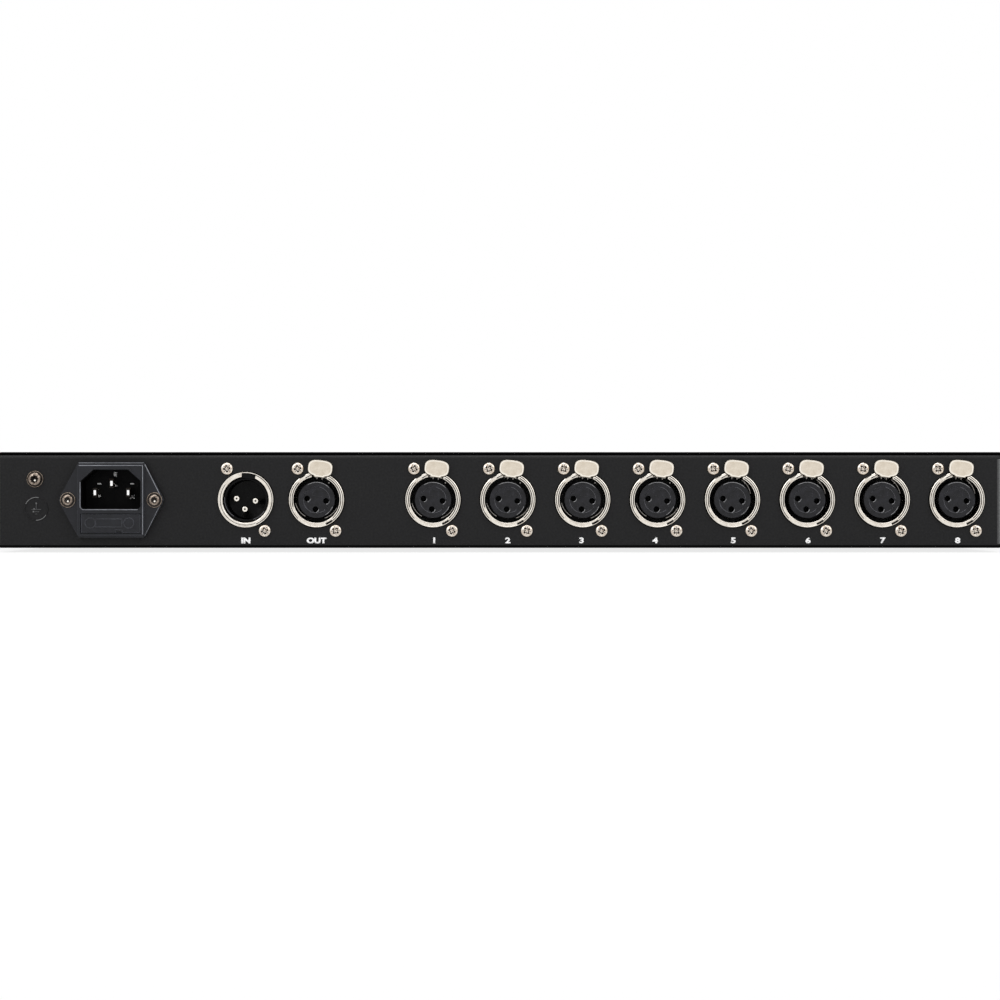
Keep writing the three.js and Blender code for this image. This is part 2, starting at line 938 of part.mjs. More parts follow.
function fuse() {
  const half = fuseLength / 2;
  const waist = fuseRadius - fuseWaist;
  const profile = [
    [0, -half],
    [fuseRadius, -half],
    [fuseRadius, -half + fuseCap],
    [waist, -half + fuseCap],
    [waist, half - fuseCap],
    [fuseRadius, half - fuseCap],
    [fuseRadius, half],
    [0, half],
  ];
  const points = profile.map(([radius, y]) => new THREE.Vector2(radius, y));
  const geometry = new THREE.LatheGeometry(points, screwSteps);
  geometry.rotateZ(Math.PI / 2);
  const height = -drawerDrop - drawerHeight / 2 + drawerFloor + fuseRadius + runGap;
  geometry.translate(0, drawerStart + fusePlace, height);
  return toSolid(geometry);
}

// Power switch

function switchHousing() {
  const bezelHalf = switchBezelWidth / 2;
  const bezelTall = switchBezelHeight / 2;
  const bezel = plateInwards(
    roundedRectangle(-bezelHalf, bezelHalf, -bezelTall, bezelTall, switchBezelCorner),
    0,
    switchBezelProud,
  );
  const bodyHalfWidth = switchBodyWidth / 2;
  const bodyHalfTall = switchBodyHeight / 2;
  const body = block(-bodyHalfWidth, bodyHalfWidth, -switchBodyDepth, overrun, -bodyHalfTall, bodyHalfTall);
  const pocket = block(
    -bodyHalfWidth + switchWall,
    bodyHalfWidth - switchWall,
    switchBezelProud - switchPocketDepth,
    switchBezelProud + overrun,
    -bodyHalfTall + switchWall,
    bodyHalfTall - switchWall,
  );
  const pivotHole = roundAcross(
    rockerPivot + runGap,
    -bodyHalfWidth - overrun,
    bodyHalfWidth + overrun,
    -rockerPivotDepth,
    0,
    screwSteps,
  );
  return cut(join(bezel, body), pocket, pivotHole);
}

// The rocker is drawn level, with its pivot on the X axis
function rocker() {
  const half = switchBodyHeight / 2 - switchWall - rockerEndGap;
  const width = switchBodyWidth / 2 - switchWall - runGap;
  const tip = rockerMiddle + half * Math.tan(rockerTurn);
  const body = barAcross(rockerOutline(half, tip), -width, width);
  const pivot = roundAcross(rockerPivot, -switchBodyWidth / 2, switchBodyWidth / 2, 0, 0, screwSteps);
  return join(body, pivot);
}

function rockerOutline(half, tip) {
  const outline = new THREE.Shape();
  outline.moveTo(-rockerFoot, -rockerFoot);
  outline.lineTo(tip - rockerEndDepth, -half);
  outline.lineTo(tip, -half);
  outline.lineTo(rockerMiddle, 0);
  outline.lineTo(tip, half);
  outline.lineTo(tip - rockerEndDepth, half);
  outline.lineTo(-rockerFoot, rockerFoot);
  outline.closePath();
  return outline;
}

// Boards

function connectorBoard() {
  return block(
    inputPlace - connectorBoardOverhang,
    outputPlaces[outputCount - 1] + connectorBoardOverhang,
    boardFace,
    boardFace + boardThickness,
    -connectorBoardHeight / 2,
    connectorBoardHeight / 2,
  );
}

// The main board carries, for each output, its header, isolator, driver and capacitor
function mainBoard() {
  const board = block(mainBoardLeft, mainBoardRight, mainBoardStart, mainBoardEnd, boardUnderside, boardTop);
  const seat = boardTop - boardThickness / 2;
  const channels = outputPlaces.flatMap((x) => {
    const header = block(
      x - headerWidth / 2,
      x + headerWidth / 2,
      boardFace + boardThickness + runGap,
      mainBoardStart + headerLength,
      seat,
      seat + headerHeight,
    );
    const isolatorStart = mainBoardStart + headerLength + channelStep / 2;
    const driverStart = isolatorStart + isolatorDepth + channelStep / 2;
    const capacitorPlace = driverStart + driverDepth + channelStep / 2;
    return [
      header,
      block(
        x - isolatorWidth / 2,
        x + isolatorWidth / 2,
        isolatorStart,
        isolatorStart + isolatorDepth,
        seat,
        boardTop + isolatorHeight,
      ),
      block(
        x - driverWidth / 2,
        x + driverWidth / 2,
        driverStart,
        driverStart + driverDepth,
        seat,
        boardTop + driverHeight,
      ),
      roundUpwards(capacitorRadius, seat, boardTop + capacitorHeight, x, capacitorPlace, holeSteps),
    ];
  });
  return join(board, ...channels);
}

function powerBoard() {
  const seat = boardTop - boardThickness / 2;
  const board = block(
    powerBoardLeft,
    powerBoardRight,
    powerBoardStart,
    powerBoardEnd,
    boardUnderside,
    boardTop,
  );
  const reservoirs = [-1, 1].map((side) =>
    roundUpwards(
      reservoirRadius,
      seat,
      boardTop + reservoirHeight,
      powerBoardPlace + side * reservoirRadius * 2,
      powerBoardEnd - reservoirRadius - boardMargin,
      screwSteps,
    ),
  );
  return join(board, ...reservoirs);
}

// Laminated core round a wound coil, standing on the power board
function transformer() {
  const y = powerBoardStart + coilDepth / 2 + boardMargin;
  const core = block(
    powerBoardPlace - coreWidth / 2,
    powerBoardPlace + coreWidth / 2,
    y - coreDepth / 2,
    y + coreDepth / 2,
    boardTop,
    boardTop + coreHeight,
  );
  const middle = boardTop + coreHeight / 2;
  const coil = barAcross(
    roundedRectangle(
      y - coilDepth / 2,
      y + coilDepth / 2,
      middle - coilHeight / 2,
      middle + coilHeight / 2,
      coilCorner,
    ),
    powerBoardPlace - coilWidth / 2,
    powerBoardPlace + coilWidth / 2,
  );
  return join(core, coil);
}

function indicatorBoard() {
  const board = block(
    powerLampPlace - lampBoardOverhang,
    outputPlaces[outputCount - 1] + lampBoardOverhang,
    lampBoardFace - boardThickness,
    lampBoardFace,
    lampRise - lampBoardHeight / 2,
    lampRise + lampBoardHeight / 2,
  );
  const domeShare = 0.7;
  const lamp = turned(
    [
      [0, lampBoardFace - boardThickness / 2],
      [lampRadius, lampBoardFace - boardThickness / 2],
      [lampRadius, panelFace + lampProud - lampRadius * domeShare],
      [lampRadius * domeShare, panelFace + lampProud],
      [0, panelFace + lampProud],
    ],
    screwSteps,
  );
  return join(board, ...lampPlaces().map((x) => lamp.translate(x, 0, lampRise)));
}

// Assembly

function addPiece(parent, name, solid, finish) {
  const mesh = new THREE.Mesh(toGeometry(solid), finish);
  mesh.name = name;
  parent.add(mesh);
  return mesh;
}

function connectorGroup(x) {
  const group = new THREE.Group();
  group.position.set(x, 0, connectorHeight);
  group.rotation.y = connectorTurn;
  return group;
}

function socketConnector(name, x) {
  const group = connectorGroup(x);
  addPiece(group, `${name}_shell`, socketShell(), nickel);
  addPiece(group, `${name}_insert`, socketInsert(), blackInsert);
  addPiece(group, `${name}_latch`, latch(), nickel);
  return group;
}

function inputConnector(x) {
  const group = connectorGroup(x);
  addPiece(group, 'input_shell', inputShell(), nickel);
  addPiece(group, 'input_insert', cupInsert(), blackInsert);
  contactPlaces().forEach(([across, up], i) => {
    addPiece(group, `input_pin_${i + 1}`, inputPin(), tinnedBrass).position.set(across, 0, up);
  });
  return group;
}

function mainsInlet() {
  const group = new THREE.Group();
  group.position.x = inletPlace;
  addPiece(group, 'inlet_housing', inletHousing(), blackPlastic);
  for (const [name, [x, z]] of Object.entries(bladePlaces())) {
    addPiece(group, `inlet_contact_${name}`, inletContact(x, z), tinnedBrass);
  }
  addPiece(group, 'fuse_drawer', fuseDrawer(), blackPlastic);
  addPiece(group, 'fuse', fuse(), fuseGlass);
  for (const [name, side] of [['left', -1], ['right', 1]]) {
    const screw = boltInwards(inletScrew, inletFlange + traySheet);
    addPiece(group, `inlet_screw_${name}`, screw, zincPlate).position.set(
      (side * inletScrewSpacing) / 2,
      -inletFlange,
      0,
    );
  }
  return group;
}

function powerSwitch() {
  const group = new THREE.Group();
  group.position.set(switchPlace, panelFace, 0);
  addPiece(group, 'power_switch_housing', switchHousing(), blackPlastic);
  const key = addPiece(group, 'power_switch_rocker', rocker(), blackPlastic);
  key.position.y = -rockerPivotDepth;
  key.rotation.x = rockerTurn;
  return group;
}

function coverScrews() {
  const group = new THREE.Group();
  for (const [name, side] of [['left', -1], ['right', 1]]) {
    coverScrewPlaces().forEach((y, i) => {
      const mesh = addPiece(group, `cover_screw_${name}_${i + 1}`, screwInwards(coverScrew), blackSteel);
      mesh.position.set(side * sideHalf, y, coverScrewLevel());
      mesh.rotation.z = (side * Math.PI) / 2;
    });
  }
  return group;
}

function panelScrews() {
  const group = new THREE.Group();
  panelScrewPlaces().forEach(([x, z], i) => {
    const mesh = addPiece(group, `panel_screw_${i + 1}`, screwInwards(panelScrew), blackSteel);
    mesh.position.set(x, panelFace, z);
    mesh.rotation.z = Math.PI;
  });
  return group;
}

const splitter = new THREE.Group();
addPiece(splitter, 'chassis_tray', tray(), powderCoat);
addPiece(splitter, 'top_cover', cover(), powderCoat);
addPiece(splitter, 'front_panel', frontPanel(), powderCoat);
addPiece(splitter, 'earth_screw', boltInwards(earthScrew, traySheet), zincPlate).position.set(
  earthPlace,
  0,
  earthHeight,
);
splitter.add(mainsInlet(), inputConnector(inputPlace), socketConnector('link', linkPlace));
outputPlaces.forEach((x, i) => splitter.add(socketConnector(`output_${i + 1}`, x)));
splitter.add(powerSwitch(), coverScrews(), panelScrews());
addPiece(splitter, 'connector_board', connectorBoard(), circuitBoard);
addPiece(splitter, 'main_board', mainBoard(), circuitBoard);
addPiece(splitter, 'power_board', powerBoard(), circuitBoard);
addPiece(splitter, 'transformer', transformer(), laminations);
addPiece(splitter, 'indicator_board', indicatorBoard(), circuitBoard);

// The origin is the middle of the splitter's footprint, on the surface that it stands on
const extent = new THREE.Box3().setFromObject(splitter);
splitter.position.set(0, -(extent.min.y + extent.max.y) / 2, -extent.min.z);
splitter.updateMatrixWorld(true);

export default splitter;
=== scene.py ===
"""The looks of an eight-way data splitter for stage lighting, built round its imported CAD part."""

import logging
import math
import random
from dataclasses import dataclass
from enum import Enum

import bmesh
import bpy
from mathutils import Matrix, Vector


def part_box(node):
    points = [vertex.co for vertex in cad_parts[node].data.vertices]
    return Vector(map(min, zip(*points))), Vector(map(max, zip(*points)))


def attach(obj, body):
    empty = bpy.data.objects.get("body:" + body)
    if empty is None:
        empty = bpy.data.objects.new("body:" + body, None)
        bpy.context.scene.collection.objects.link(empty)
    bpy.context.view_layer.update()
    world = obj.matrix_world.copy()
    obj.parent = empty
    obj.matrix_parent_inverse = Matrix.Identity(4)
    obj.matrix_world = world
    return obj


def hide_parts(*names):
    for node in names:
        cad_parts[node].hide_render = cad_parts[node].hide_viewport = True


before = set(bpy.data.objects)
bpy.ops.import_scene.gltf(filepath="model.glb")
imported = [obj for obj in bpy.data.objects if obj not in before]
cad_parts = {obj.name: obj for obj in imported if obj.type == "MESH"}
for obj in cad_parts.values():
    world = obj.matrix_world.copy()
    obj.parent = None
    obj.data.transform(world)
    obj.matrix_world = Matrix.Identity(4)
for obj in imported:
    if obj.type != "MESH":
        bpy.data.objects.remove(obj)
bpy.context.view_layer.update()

log = logging.getLogger("splitter")

Pair = tuple[float, float]
Outline = list[Pair]
Span = tuple[float, float, float, float]
Piece = bpy.types.Object
Tree = bpy.types.ShaderNodeTree
Node = bpy.types.ShaderNode
Socket = bpy.types.NodeSocket

# Lengths on the object are millimetres, in the studio and in Blender metres.
MM = 0.001
DEGREE = math.pi / 180
HOUSING = "housing"

# Faces that the pieces are set against
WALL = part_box("chassis_tray")[0].y / MM
PANEL_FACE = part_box("front_panel")[1].y / MM
MIDDLE = (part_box("front_panel")[0].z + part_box("front_panel")[1].z) / 2 / MM

# Where the connectors stand along the wall
INPUT_PLACE = -107.0
LINK_PLACE = -77.2
FIRST_OUTPUT_PLACE = -28.2
OUTPUT_PITCH = 31.5
OUTPUT_PLACES = [FIRST_OUTPUT_PLACE + OUTPUT_PITCH * i for i in range(8)]
CONNECTOR_RISE = 0.1
CONNECTOR_TURN = 7
INLET_PLACE = -163.4

# The power switch's opening in the front panel and in the tray behind it
SWITCH_PLACE = -184.0
SWITCH_HOLE_WIDTH = 13.4
SWITCH_HOLE_HEIGHT = 19.4

# How far a tool reaches past what it cuts, and how thick a film of ink is
OVERRUN = 1.0
FILM = 0.03

# How finely the clouds of a pattern break up, and the least roughness of any finish
CLOUDS = {"Detail": 3.0, "Roughness": 0.6}
SMOOTHEST = 0.02


# Finishes


def linear(colour: str) -> tuple[float, float, float, float]:
    """Turns an sRGB hex colour into the linear one that a shader takes.

    Args:
        colour: The colour as "#rrggbb".

    Returns:
        Linear red, green and blue, and an alpha of one.
    """
    channels = [int(colour[i : i + 2], 16) / 255 for i in (1, 3, 5)]
    red, green, blue = [c / 12.92 if c <= 0.04045 else ((c + 0.055) / 1.055) ** 2.4 for c in channels]
    return red, green, blue, 1.0


def add_node(tree: Tree, kind: str, settings: dict, links: dict | None = None) -> Node:
    """Adds a shader node with its settings and its incoming links.

    Args:
        tree: The node tree that gets the node.
        kind: Blender's name of the node type.
        settings: Values by property name, or by the name or number of an input.
        links: What feeds an input, by its name or number: an output socket, or a node for its first one.

    Returns:
        The new node.
    """
    node = tree.nodes.new(kind)
    for key, value in settings.items():
        if isinstance(key, int) or key in node.inputs:
            node.inputs[key].default_value = value
        else:
            setattr(node, key, value)
    for key, source in (links or {}).items():
        output = source if isinstance(source, Socket) else next(out for out in source.outputs if out.enabled)
        tree.links.new(output, node.inputs[key])
    return node


def bare_tree(owner: bpy.types.Material | bpy.types.World) -> Tree:
    """Gives a material or a world a node tree with nothing in it.

    Args:
        owner: The material or the world.

    Returns:
        Its tree.
    """
    owner.use_nodes = True
    owner.node_tree.nodes.clear()
    return owner.node_tree


@dataclass(frozen=True)
class Finish:
    """A surface by how it was made: its colours, its gloss, and the grain that the making leaves.

    The mottle is the slow change of colour and gloss over the surface, and the grain its relief. A
    fade is the span of a pattern's values in which the first colour or gloss gives way to the second.
    """

    name: str
    colour: str
    mottle: str
    roughness: float
    metallic: float = 0.0
    specular: float = 0.5
    roughness_spread: float = 0.06
    mottle_size: float = 5.0
    grain_size: float = 0.4
    grain_height: float = 0.006
    fade: Pair = (0.38, 0.68)
    gloss_fade: Pair = (0.3, 0.7)
    gloss_share: float = 0.6

    def make(self) -> bpy.types.Material:
        """Builds the finish's node tree.

        Returns:
            The new material.
        """
        material = bpy.data.materials.new(self.name)
        tree = bare_tree(material)
        place = add_node(tree, "ShaderNodeTexCoord", {}).outputs["Object"]
        shader = add_node(
            tree,
            "ShaderNodeBsdfPrincipled",
            {"Metallic": self.metallic, "Specular IOR Level": self.specular, **self.extras()},
            {
                "Base Color": self.paint(tree, place),
                "Roughness": self.gloss(tree, place),
                "Normal": self.relief(tree, place),
            },
        )
        add_node(tree, "ShaderNodeOutputMaterial", {}, {"Surface": shader})
        return material

    def extras(self) -> dict:
        """Values for the shader's other sockets, of which a plain finish has none."""
        return {}

    def patch(self) -> float:
        """How large the patches of the second colour are, in millimetres."""
        return self.mottle_size

    def under(self, tree: Tree, place: Socket) -> dict:
        """The relief that the grain lies on, as a link, of which a plain finish has none."""
        return {}

    def paint(self, tree: Tree, place: Socket) -> Node:
        """Mottles the finish's colour with its second one."""
        colours = {"data_type": "RGBA", 6: linear(self.colour), 7: linear(self.mottle)}
        return add_node(tree, "ShaderNodeMix", colours, {0: self.share(tree, place)})

    def share(self, tree: Tree, place: Socket) -> Node:
        """Spreads the second colour over the surface in soft patches.

        Args:
            tree: The material's node tree.
            place: The coordinates that the patches follow.

        Returns:
            The node that gives the second colour's share.
        """
        clouds = {**CLOUDS, "Scale": 1 / (self.patch() * MM)}
        patches = add_node(tree, "ShaderNodeTexNoise", clouds, {"Vector": place})
        limits = {"From Min": self.fade[0], "From Max": self.fade[1]}
        return add_node(tree, "ShaderNodeMapRange", limits, {"Value": patches})

    def gloss(self, tree: Tree, place: Socket) -> Node:
        """Lets the roughness drift a little from place to place.

        Args:
            tree: The material's node tree.
            place: The coordinates that the drift follows.

        Returns:
            The node that gives the roughness.
        """
        clouds = {**CLOUDS, "Scale": 1 / (self.mottle_size * self.gloss_share * MM)}
        patches = add_node(tree, "ShaderNodeTexNoise", clouds, {"Vector": place})
        limits = {
            "From Min": self.gloss_fade[0],
            "From Max": self.gloss_fade[1],
            "To Min": max(self.roughness - self.roughness_spread, SMOOTHEST),
            "To Max": self.roughness + self.roughness_spread,
        }
        return add_node(tree, "ShaderNodeMapRange", limits, {"Value": patches})

    def relief(self, tree: Tree, place: Socket) -> Node:
        """Raises the surface's grain.

        Args:
            tree: The material's node tree.
            place: The coordinates that the grain follows.

        Returns:
            The node that gives the bumped normal.
        """
        clouds = {**CLOUDS, "Scale": 1 / (self.grain_size * MM)}
        grain = add_node(tree, "ShaderNodeTexNoise", clouds, {"Vector": place})
        height = {"Distance": self.grain_height * MM, "Strength": 1.0}
        return add_node(tree, "ShaderNodeBump", height, {"Height": grain, **self.under(tree, place)})


@dataclass(frozen=True)
class PowderCoat(Finish):
    """Polyester powder, sprayed on sheet steel and baked.

    The eye gets a satin black with the fine pebbled skin of the melted grains, about half a
    millimetre apart, over a slower orange peel.
    """

    peel_size: float = 1.6
    fade: Pair = (0.35, 0.75)

    def patch(self) -> float:
        """How large the faint lighter speckles are, where the grains stand proud, in millimetres."""
        return self.grain_size * 1.5

    def under(self, tree: Tree, place: Socket) -> dict:
        """Lays the fine grains over the orange peel.

        Args:
            tree: The material's node tree.
            place: The coordinates that the peel follows.

        Returns:
            The link to the peel's relief.
        """
        waves = {"Scale": 1 / (self.peel_size * MM), "Detail": 1.0}
        peel = add_node(tree, "ShaderNodeTexNoise", waves, {"Vector": place})
        height = {"Distance": self.grain_height * 2 * MM, "Strength": 1.0}
        return {"Normal": add_node(tree, "ShaderNodeBump", height, {"Height": peel})}


@dataclass(frozen=True)
class SprayedInk(Finish):
    """Pad-printed or screened ink, a thin matt film that misses the deepest pits of the coat."""

    fade: Pair = (0.62, 0.78)

    def patch(self) -> float:
        """How large the pits are, over which the white is a little thin, in millimetres."""
        return self.grain_size


@dataclass(frozen=True)
class SolderMask(Finish):
    """Glass-fibre board under green solder mask: the copper tracks show through as paler lines."""

    track_pitch: float = 2.54
    track_width: float = 0.3

    def paint(self, tree: Tree, place: Socket) -> Node:
        """Gives green, paler over a grid of tracks at the board's pitch.

        Args:
            tree: The material's node tree.
            place: The coordinates that the tracks follow.

        Returns:
            The node that gives the colour.
        """
        tracks = {
            "Scale": 1.0,
            "Color1": linear(self.colour),
            "Color2": linear(self.colour),
            "Mortar": linear(self.mottle),
            "Mortar Size": self.track_width * MM,
            "Brick Width": self.track_pitch * 3 * MM,
            "Row Height": self.track_pitch * MM,
        }
        return add_node(tree, "ShaderNodeTexBrick", tracks, {"Vector": place})


@dataclass(frozen=True)
class StackedSteel(Finish):
    """Stamped transformer steel, varnished in a stack, half a millimetre a sheet, over a wound coil."""

    sheet_pitch: float = 1.0
    fade: Pair = (0.1, 0.4)

    def share(self, tree: Tree, place: Socket) -> Node:
        """Draws steel grey sheets between dark joints, at twice the real pitch to show.

        Args:
            tree: The material's node tree.
            place: The coordinates that the sheets follow.

        Returns:
            The node that gives one on a sheet and zero in a joint.
        """
        bands = add_node(
            tree,
            "ShaderNodeTexWave",
            {"bands_direction": "Y", "Scale": 0.314 / (self.sheet_pitch * MM), "Distortion": 0.0},
            {"Vector": place},
        )
        limits = {"From Min": self.fade[0], "From Max": self.fade[1]}
        return add_node(tree, "ShaderNodeMapRange", limits, {"Value": bands.outputs["Fac"]})


@dataclass(frozen=True)
class CappedGlass(Finish):
    """A glass fuse tube between two nickelled brass caps."""

    cap_start: float = 5.0
    cap_edge: float = 0.1

    def share(self, tree: Tree, place: Socket) -> Node:
        """Tells the caps beyond the glass's ends from the pale glass between them.

        Args:
            tree: The material's node tree.
            place: The coordinates along the fuse.

        Returns:
            The node that gives one on a cap and zero on the glass.
        """
        along = add_node(tree, "ShaderNodeSeparateXYZ", {}, {"Vector": place})
        offset = add_node(tree, "ShaderNodeMath", {"operation": "SUBTRACT", 1: INLET_PLACE * MM}, {0: along})
        reach = add_node(tree, "ShaderNodeMath", {"operation": "ABSOLUTE"}, {0: offset})
        limits = {"From Min": self.cap_start * MM, "From Max": (self.cap_start + self.cap_edge) * MM}
        return add_node(tree, "ShaderNodeMapRange", limits, {"Value": reach})


@dataclass(frozen=True)
class LampLens(Finish):
    """Clear-dyed epoxy, cast round the lamp's die: glossy, deep in colour, and a little light passes."""

    grain_size: float = 1.0
    grain_height: float = 0.002

    def extras(self) -> dict:
        """Light scatters inside the lens.

        Returns:
            The lens's own values, by the names of the shader's sockets.
        """
        return {
            "Transmission Weight": 0.35,
            "Coat Weight": 0.6,
            "Emission Color": linear(self.mottle),
            "Emission Strength": 0.12,
        }


class Coating(Enum):
    """The finishes of the splitter's pieces."""

    # Black powder coat: satin, with grains just large enough to catch the light.
    POWDER = PowderCoat(
        "black_powder_coat", "#161617", "#202021", 0.5, specular=0.16, grain_size=0.55, grain_height=0.01
    )
    # The same coat, smoother, and painted lighter as a highlight on rounded edges, on the earth sign's
    # strokes and in a strip along the wall's right edge.
    RUBBED = PowderCoat(
        "painted_highlight_on_powder_coat", "#2c2c2d", "#3d3d3e", 0.34, specular=0.45, grain_size=0.7, grain_height=0.004
    )
    # A brighter painted highlight on the coat: in a strip at the wall's right edge, and on two arcs and three
    # dots of the earth sign.
    WORN_POWDER = Finish("painted_bright_highlight_on_powder_coat", "#5c5c5d", "#707071", 0.4, mottle_size=0.8)
    # The same coat where it turns away from the light: in cut openings and under the lower bend.
    SHADED = PowderCoat("powder_coat_turned_from_the_light", "#040404", "#080808", 0.7, specular=0.03)
    # Die-cast zinc under satin nickel: a warm pale metal, its skin very slightly uneven.
    NICKEL = Finish(
        "satin_nickel_on_die_cast_zinc", "#f2ede4", "#ddd5ca", 0.22, 1.0,
        roughness_spread=0.05, mottle_size=1.8, grain_size=0.9, grain_height=0.0015,
    )
    # The same nickel painted near white as a highlight: round the latch tab's edge and as a glint in washered
    # screws' recesses.
    BRIGHT_EDGE = Finish(
        "painted_highlight_on_nickel", "#fffaf0", "#f6efe2", 0.16, 1.0,
        roughness_spread=0.02, mottle_size=2.0, grain_size=0.9, grain_height=0.0006,
    )
    # Painted shade on the rings: dark arcs in their grooves, their cut slots and slit, and the flange behind
    # them.
    GROOVE = Finish(
        "painted_shade_on_the_rings", "#0d0c0b", "#1f1c19", 0.6, specular=0.06,
        mottle_size=1.2, grain_height=0.003,
    )
    # Grey oiled steel of the latch's teeth; the same grey paints reflections as arcs in the ring's gap and a
    # glint there.
    SPRING = Finish("grey_steel_and_painted_reflections", "#9c9893", "#6f6b67", 0.36, 1.0, mottle_size=1.2, grain_height=0.002)
    # Stamped and tumbled nickel-plated steel: duller on its flats than the cast rings.
    TAB_NICKEL = Finish(
        "tumbled_nickel_on_pressed_steel", "#e3d9ca", "#d3c8b7", 0.4, 1.0,
        mottle_size=1.6, grain_size=0.5, grain_height=0.002,
    )
    # Screws straight from the plating barrel: pale, with the faint brown of their passivation.
    SCREW = Finish(
        "barrel_nickelled_screw_steel", "#f2ebe1", "#b3a08c", 0.26, 1.0,
        mottle_size=0.7, grain_size=0.6, grain_height=0.002,
    )
    # Painted shade down in screw recesses and their marks and in the pins' dimples, tinted with the brown of
    # old plating and driver scuffs.
    RECESS = Finish(
        "painted_shade_and_old_plating_in_recesses", "#1d150f", "#463729", 0.5, 0.5, mottle_size=0.6, grain_height=0.004
    )
    # Zinc plate with a thick brownish passivation on its washers.
    ZINC = Finish(
        "passivated_zinc_plate", "#a3968a", "#574b42", 0.26, 1.0,
        mottle_size=0.8, grain_size=0.5, grain_height=0.003,
    )
    # Painted shade on plated metal: the flat of those washers, the recess of those screws and the tapered
    # faces of the inlet's blades.
    ZINC_SHADE = Finish(
        "painted_shade_on_plated_metal", "#14110f", "#342b25", 0.5, 0.4, mottle_size=0.6, grain_height=0.003
    )
    # Black oxide and oil on steel: dark, with a soft metal shine.
    BLACK_SCREW = Finish(
        "black_oxide_steel", "#1b1b1d", "#26262a", 0.38, 0.6, mottle_size=1.5, grain_size=0.5
    )
    # Moulded polyamide: a dark grey with the fine spark-eroded skin of its mould.
    INSERT = Finish(
        "moulded_black_polyamide", "#1e1e20", "#27272b", 0.5, specular=0.18,
        mottle_size=2.5, grain_size=0.35, grain_height=0.008,
    )
    # The polyamide, smoother and painted lighter as a highlight: on its rounded edges, on arcs of the
    # insert's bead and on the cup's lip.
    INSERT_EDGE = Finish(
        "painted_highlight_on_black_polyamide", "#4b4b50", "#626268", 0.35,
        mottle_size=2.5, grain_size=0.5, grain_height=0.002,
    )
    # Painted highlights at the lower right of the contact holes' lips and on two arcs of the insert's rim.
    WORN_LIP = Finish(
        "painted_highlight_on_the_lips", "#a3a3a4", "#6e6e72", 0.4,
        mottle_size=0.8, grain_size=0.3, grain_height=0.003,
    )
    # The same polyamide down in the cup, polished in the mould and painted near black as shade; it also lines
    # the keyway.
    CUP = Finish(
        "painted_shade_on_polyamide_in_the_cup", "#060607", "#0b0b0c", 0.3, specular=0.1,
        mottle_size=2.5, grain_size=0.6, grain_height=0.003,
    )
    # Moulded polycarbonate of the mains inlet: bluish black with a soft gloss.
    INLET = Finish(
        "moulded_black_polycarbonate", "#191a1e", "#202126", 0.36, specular=0.25,
        mottle_size=6.0, grain_size=0.5,
    )
    # The inlet's rounded edges: glossier, and painted lighter as a highlight that draws its outline.
    INLET_EDGE = Finish(
        "painted_highlight_on_polycarbonate_edges", "#3a3b42", "#484a52", 0.25,
        mottle_size=6.0, grain_size=0.5, grain_height=0.002,
    )
    # Painted highlights as fine light grey lines along its upper and right edges and at two sides of the
    # socket's mouth.
    PARTING_LINE = Finish(
        "painted_highlight_lines_on_polycarbonate", "#8b8d94", "#6a6c73", 0.3,
        mottle_size=3.0, grain_size=0.5, grain_height=0.002,
    )
    # Inside of the inlet, where no light bounces back.
    CAVITY = Finish(
        "moulded_polycarbonate_in_the_socket", "#050506", "#0a0a0b", 0.5, specular=0.08,
        mottle_size=4.0, grain_size=0.5, grain_height=0.005,
    )
    # Tinned brass contacts: bright, a little uneven from the tin bath.
    CONTACT = Finish(
        "tinned_brass", "#f6f2ea", "#e6e0d4", 0.16, 1.0, mottle_size=1.2, grain_size=0.6, grain_height=0.001
    )
    # White screen ink: matt, with pinholes over the pits of the powder coat.
    INK = SprayedInk(
        "white_screen_ink", "#ffffff", "#c4c4c4", 0.6, specular=0.4, grain_size=0.5, grain_height=0.004
    )
    # The small moulded marks beside the contacts, filled with ink; the same white paints highlights on the
    # blades' tips and glint streaks on their sides.
    MARK = SprayedInk("white_marking_ink_and_painted_glints", "#ffffff", "#d8d8d6", 0.6, specular=0.3, grain_height=0.004)
    BOARD = SolderMask("green_solder_mask", "#12512f", "#2c7a49", 0.4, grain_size=0.8, grain_height=0.01)
    CORE = StackedSteel("varnished_transformer_steel", "#2c2926", "#77726b", 0.45, 0.6, grain_size=0.8)
    FUSE = CappedGlass(
        "fuse_glass_and_caps", "#b8c4c0", "#cfc7ba", 0.18, 0.3, grain_size=1.2, grain_height=0.002
    )
    GREEN_LAMP = LampLens("green_lamp_epoxy", "#1f8a3a", "#38d05a", 0.12)
    RED_LAMP = LampLens("red_lamp_epoxy", "#a01818", "#ff3a24", 0.12)
    AMBER_LAMP = LampLens("amber_lamp_epoxy", "#b8660c", "#ffa21c", 0.12)

    def material(self) -> bpy.types.Material:
        """The finish's material, made when it is first wanted."""
        return bpy.data.materials.get(self.value.name) or self.value.make()


class Slot(Enum):
    """The record's material slots."""

    POWDER = "powder_coat"
    NICKEL = "nickel"
    INSERT = "black_insert"
    PLASTIC = "black_plastic"
    CONTACT = "contact_metal"
    ZINC = "zinc_plate"
    BLACK_SCREW = "black_screw"
    BOARD = "circuit_board"
    CORE = "laminations"
    FUSE = "fuse_glass"


# Outlines, as (x, z) points in millimetres


def arc(x: float, z: float, radius: float, start: float, end: float, steps: int) -> Outline:
    """Points round a centre, from one angle in degrees to another."""
    angles = [(start + (end - start) * i / steps) * DEGREE for i in range(steps + 1)]
    return [(x + radius * math.cos(a), z + radius * math.sin(a)) for a in angles]


def disc(x: float, z: float, radius: float, steps: int = 64) -> Outline:
    """A full circle."""
    return arc(x, z, radius, 0, 360, steps)[:-1]


